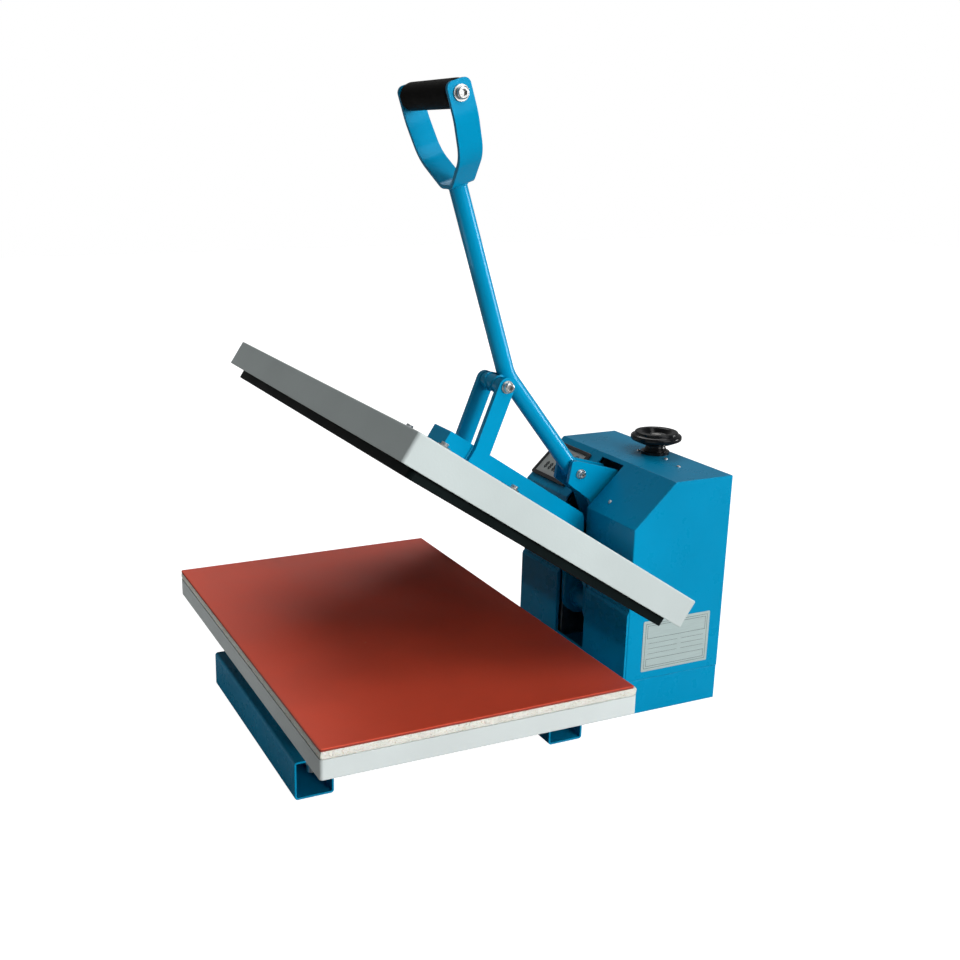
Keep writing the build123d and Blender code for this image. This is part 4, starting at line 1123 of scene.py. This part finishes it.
class PRESS_OT_plate(Operator):
    """Stick the bare rating plate with its ruled fields on the right wall"""
    bl_idname = "press.plate"
    bl_label = "Rating plate"

    def execute(self, context):
        sizes = context.scene.press_labels
        wall = HOUSING[1].x
        thick, corner, bevel = 0.0005, 0.002, 0.0002
        y0, z0 = sizes.behind, sizes.low
        y1, z1 = y0 + sizes.width, z0 + sizes.height
        work = bmesh.new()
        loops = []
        for lift, inset in ((0.0, 0.0), (thick - bevel, 0.0), (thick, bevel)):
            loops.append([
                work.verts.new((wall + lift, y, z))
                for cy, cz, start in rounded_corners(y0, z0, y1, z1, corner)
                for y, z in quarter(cy, cz, corner - inset, start, 8)])
        skin(work, loops)
        mesh = mesh_from("rating_plate", work, 30.0)
        settle(new_object("rating_plate", mesh, finish_named("plate_silver")), "base")

        line, ink = 0.0005, 0.00012
        frame_in, field_in, row_in = 0.004, 0.007, 0.009
        low_field, high_field, rows = 0.018, 0.026, 4
        rules = []

        def frame_lines(a0, b0, a1, b1):
            rules.extend((
                (a0, b0, a1, b0 + line), (a0, b1 - line, a1, b1),
                (a0, b0 + line, a0 + line, b1 - line), (a1 - line, b0 + line, a1, b1 - line)))

        frame_lines(y0 + frame_in, z0 + frame_in, y1 - frame_in, z1 - frame_in)
        frame_lines(y0 + field_in, z0 + field_in, y1 - field_in, z0 + low_field)
        frame_lines(y0 + field_in, z1 - high_field, y1 - field_in, z1 - field_in)
        for row in range(1, rows):
            z = z0 + low_field + (sizes.height - low_field - high_field) * row / rows
            for start, end in (
                    (y0 + row_in, y0 + sizes.width * 0.52),
                    (y0 + sizes.width * 0.58, y1 - row_in)):
                rules.append((start, z, end, z + line * 0.8))
        work = bmesh.new()
        lay_strips(work, wall + thick, rules, ink)
        mesh = mesh_from("plate_rules", work, 30.0)
        settle(new_object("plate_rules", mesh, finish_named("plate_ink")), "base")
        return {"FINISHED"}


class PRESS_OT_display(Operator):
    """Set the dark segments of the display's four digits and the point between them"""
    bl_idname = "press.display"
    bl_label = "Display segments"

    def execute(self, context):
        sizes = context.scene.press_labels
        window = node_place("display")
        along_window = (window - on_slant(0.0, 0.0)).dot(SLANT_UP)
        surface, sunk, proud = 0.0025, 0.0003, 0.00012
        high = sizes.digit
        wide, bar = high * 0.40, high * 0.29
        left, pitch, row = window.x - 0.0255, 0.0108, along_window - 0.0025
        work = bmesh.new()

        def prism(outline):
            """A thin solid on the display, from its outline along the slanted face."""
            skin(work, [
                [work.verts.new(on_slant(x, along, lift)) for x, along in outline]
                for lift in (surface - sunk, surface + proud)])

        def segment(x, along, length, level):
            """One six-sided segment, lying level or standing along the face."""
            half, thin = length / 2 - bar * 0.04, bar / 2
            shape = ((-half, 0), (-half + thin, -thin), (half - thin, -thin),
                     (half, 0), (half - thin, thin), (-half + thin, thin))
            prism([(x + a, along + b) if level else (x + b, along + a) for a, b in shape])

        def eight(x, along):
            for rise in (-0.5, 0.0, 0.5):
                segment(x, along + rise * high, wide, True)
            for side in (-0.5, 0.5):
                for rise in (-0.25, 0.25):
                    segment(x + side * wide, along + rise * high, high / 2, False)

        def dot(x, along, radius, count=14):
            turns = [math.tau * step / count for step in range(count)]
            prism([
                (x + radius * math.cos(turn), along + radius * math.sin(turn))
                for turn in turns])

        for index in range(4):
            eight(left + index * pitch, row)
        dot(left + pitch * 2.5, row - high / 2, bar * 0.55)
        digits = new_object(
            "display_digits", mesh_from("display_digits", work, 30.0), finish_named("digit_ink"))
        settle(digits, "base")
        return {"FINISHED"}


def stage_floor(size):
    """Pale floor that reads white to the camera."""
    work = bmesh.new()
    bmesh.ops.create_grid(work, x_segments=8, y_segments=8, size=size / 2)
    bmesh.ops.translate(work, verts=work.verts, vec=(0.0, 0.0, -0.0003))
    mesh = mesh_from("stage_floor", work)
    finish = Finish("floor_paper", Specular_IOR_Level=0.1)
    grain = finish.noise(90.0, 3.0)
    tone = finish.blend(grain, (0.29, 0.29, 0.29), (0.32, 0.32, 0.32))
    material = finish.done(tone, 0.9, finish.relief(grain, 0.05, 0.0005))
    finish.shader.inputs["Emission Color"].default_value = (1.0, 1.0, 1.0, 1.0)
    ray = finish.node("ShaderNodeLightPath")
    finish.feed(finish.shader.inputs["Emission Strength"], ray.outputs["Is Camera Ray"])
    floor = new_object("stage_floor", mesh, material)


def stage_world(strength):
    """Even room light, white to the camera; gloss sees a bright backdrop and a dim room."""
    world = bpy.data.worlds.new("press_room")
    bpy.context.scene.world = world
    world.use_nodes = True
    room = Nodes(world.node_tree)
    back = room.tree.nodes["Background"]
    back.inputs["Color"].default_value = (1.0, 1.0, 1.0, 1.0)
    ray = room.node("ShaderNodeLightPath")
    way = room.node("ShaderNodeTexCoord").outputs["Generated"]
    to_camera = room.node(
        "ShaderNodeVectorMath", {0: way, 1: (0.88, -0.39, 0.27)}, operation="DOT_PRODUCT")
    shine = room.spread(to_camera.outputs["Value"], -0.35, 0.35, 0.18, 0.10)
    lit = room.node("ShaderNodeMix", {
        "Factor": ray.outputs["Is Glossy Ray"], "A": strength, "B": shine})
    level = room.node("ShaderNodeMix", {
        "Factor": ray.outputs["Is Camera Ray"], "A": lit.outputs["Result"], "B": 1.0})
    room.feed(back.inputs["Strength"], level.outputs["Result"])


def stage_light(name, lamp, way, energy):
    """A light that shines from a direction, linked to the scene."""
    lamp.energy = energy
    light = bpy.data.objects.new(name, lamp)
    bpy.context.scene.collection.objects.link(light)
    light.rotation_mode = "QUATERNION"
    light.rotation_quaternion = Vector(way).to_track_quat("Z", "Y")
    return light


def stage_camera():
    """The camera of the photograph, fitted to the edges of platen, cover and housing."""
    azimuth, elevation, roll = math.radians(66.38), math.radians(15.92), math.radians(-0.34)
    back = Vector((
        math.sin(azimuth) * math.cos(elevation),
        -math.cos(azimuth) * math.cos(elevation),
        math.sin(elevation)))
    right = Vector((math.cos(azimuth), math.sin(azimuth), 0.0))
    up = back.cross(right)
    turned = Matrix.Rotation(roll, 3, "Z") @ Matrix((right, up, back))
    eye = bpy.data.cameras.new("eye")
    eye.sensor_width = 36.0
    eye.lens = 44.57
    eye.shift_x = 0.0962
    eye.shift_y = 0.0024
    camera = bpy.data.objects.new("eye", eye)
    bpy.context.scene.collection.objects.link(camera)
    place = turned.transposed().to_4x4()
    place.translation = Vector((1.3689, -0.7227, 0.7547))
    camera.matrix_world = place
    bpy.context.scene.camera = camera


class PRESS_OT_stage(Operator):
    """Set the pale floor, the soft room and key light, and the camera of the photograph"""
    bl_idname = "press.stage"
    bl_label = "Stage"

    def execute(self, context):
        sizes = context.scene.press_stage
        stage_floor(sizes.distance)
        stage_world(sizes.sky)
        key_way = (0.94, 0.28, 0.12)
        for name, strength, spread, way in (
                ("key", sizes.key, 18.0, key_way),
                ("glint", sizes.glint, 30.0, key_way),
                ("ceiling_left", sizes.ceiling, 40.0, (-0.50, 0.20, 0.84)),
                ("ceiling_right", sizes.ceiling, 40.0, (0.60, 0.17, 0.78)),
                ("rim", sizes.rim, 20.0, (0.33, 0.93, 0.05))):
            lamp = bpy.data.lights.new(name, "SUN")
            lamp.angle = math.radians(spread)
            sun = stage_light(name, lamp, way, strength)
            sun.visible_glossy = name != "key"
            sun.visible_diffuse = name != "glint"
        panel = bpy.data.lights.new("front_card", "AREA")
        panel.shape = "RECTANGLE"
        panel.size, panel.size_y = 0.8, 0.12
        card = stage_light("front_card", panel, (0.0, -1.0, 0.0), sizes.card)
        card.location = (-0.25, -0.95, 0.07)
        card.visible_camera = False
        stage_camera()
        context.scene.view_settings.view_transform = "Standard"
        return {"FINISHED"}


class PRESS_PT_sidebar(Panel):
    bl_label = "Heat press"
    bl_idname = "PRESS_PT_sidebar"
    bl_space_type = "VIEW_3D"
    bl_region_type = "UI"
    bl_category = "Heat press"

    def draw(self, context):
        layout = self.layout
        scene = context.scene
        for title, group in (
                ("Finishes", scene.press_finish), ("Platen", scene.press_platen),
                ("Fasteners", scene.press_fasteners), ("Labels", scene.press_labels),
                ("Stage", scene.press_stage)):
            box = layout.box()
            box.label(text=title)
            for name in group.__annotations__:
                box.prop(group, name)
        for operator in OPERATORS:
            layout.operator(operator.bl_idname)


SETTINGS = (
    ("press_finish", PressFinishSettings),
    ("press_platen", PressPlatenSettings),
    ("press_fasteners", PressFastenerSettings),
    ("press_labels", PressLabelSettings),
    ("press_stage", PressStageSettings),
)
OPERATORS = (
    PRESS_OT_finishes,
    PRESS_OT_mat,
    PRESS_OT_pad,
    PRESS_OT_screws,
    PRESS_OT_threads,
    PRESS_OT_welds,
    PRESS_OT_plate,
    PRESS_OT_display,
    PRESS_OT_stage,
)


def register():
    for name, group in SETTINGS:
        bpy.utils.register_class(group)
        setattr(bpy.types.Scene, name, PointerProperty(type=group))
    for operator in OPERATORS:
        bpy.utils.register_class(operator)
    bpy.utils.register_class(PRESS_PT_sidebar)


def unregister():
    bpy.utils.unregister_class(PRESS_PT_sidebar)
    for operator in reversed(OPERATORS):
        bpy.utils.unregister_class(operator)
    for name, group in reversed(SETTINGS):
        delattr(bpy.types.Scene, name)
        bpy.utils.unregister_class(group)


def main():
    register()
    bpy.ops.press.finishes()
    bpy.ops.press.mat()
    bpy.ops.press.pad()
    bpy.ops.press.screws()
    bpy.ops.press.threads()
    bpy.ops.press.welds()
    bpy.ops.press.plate()
    bpy.ops.press.display()
    bpy.ops.press.stage()


if __name__ == "__main__":
    main()
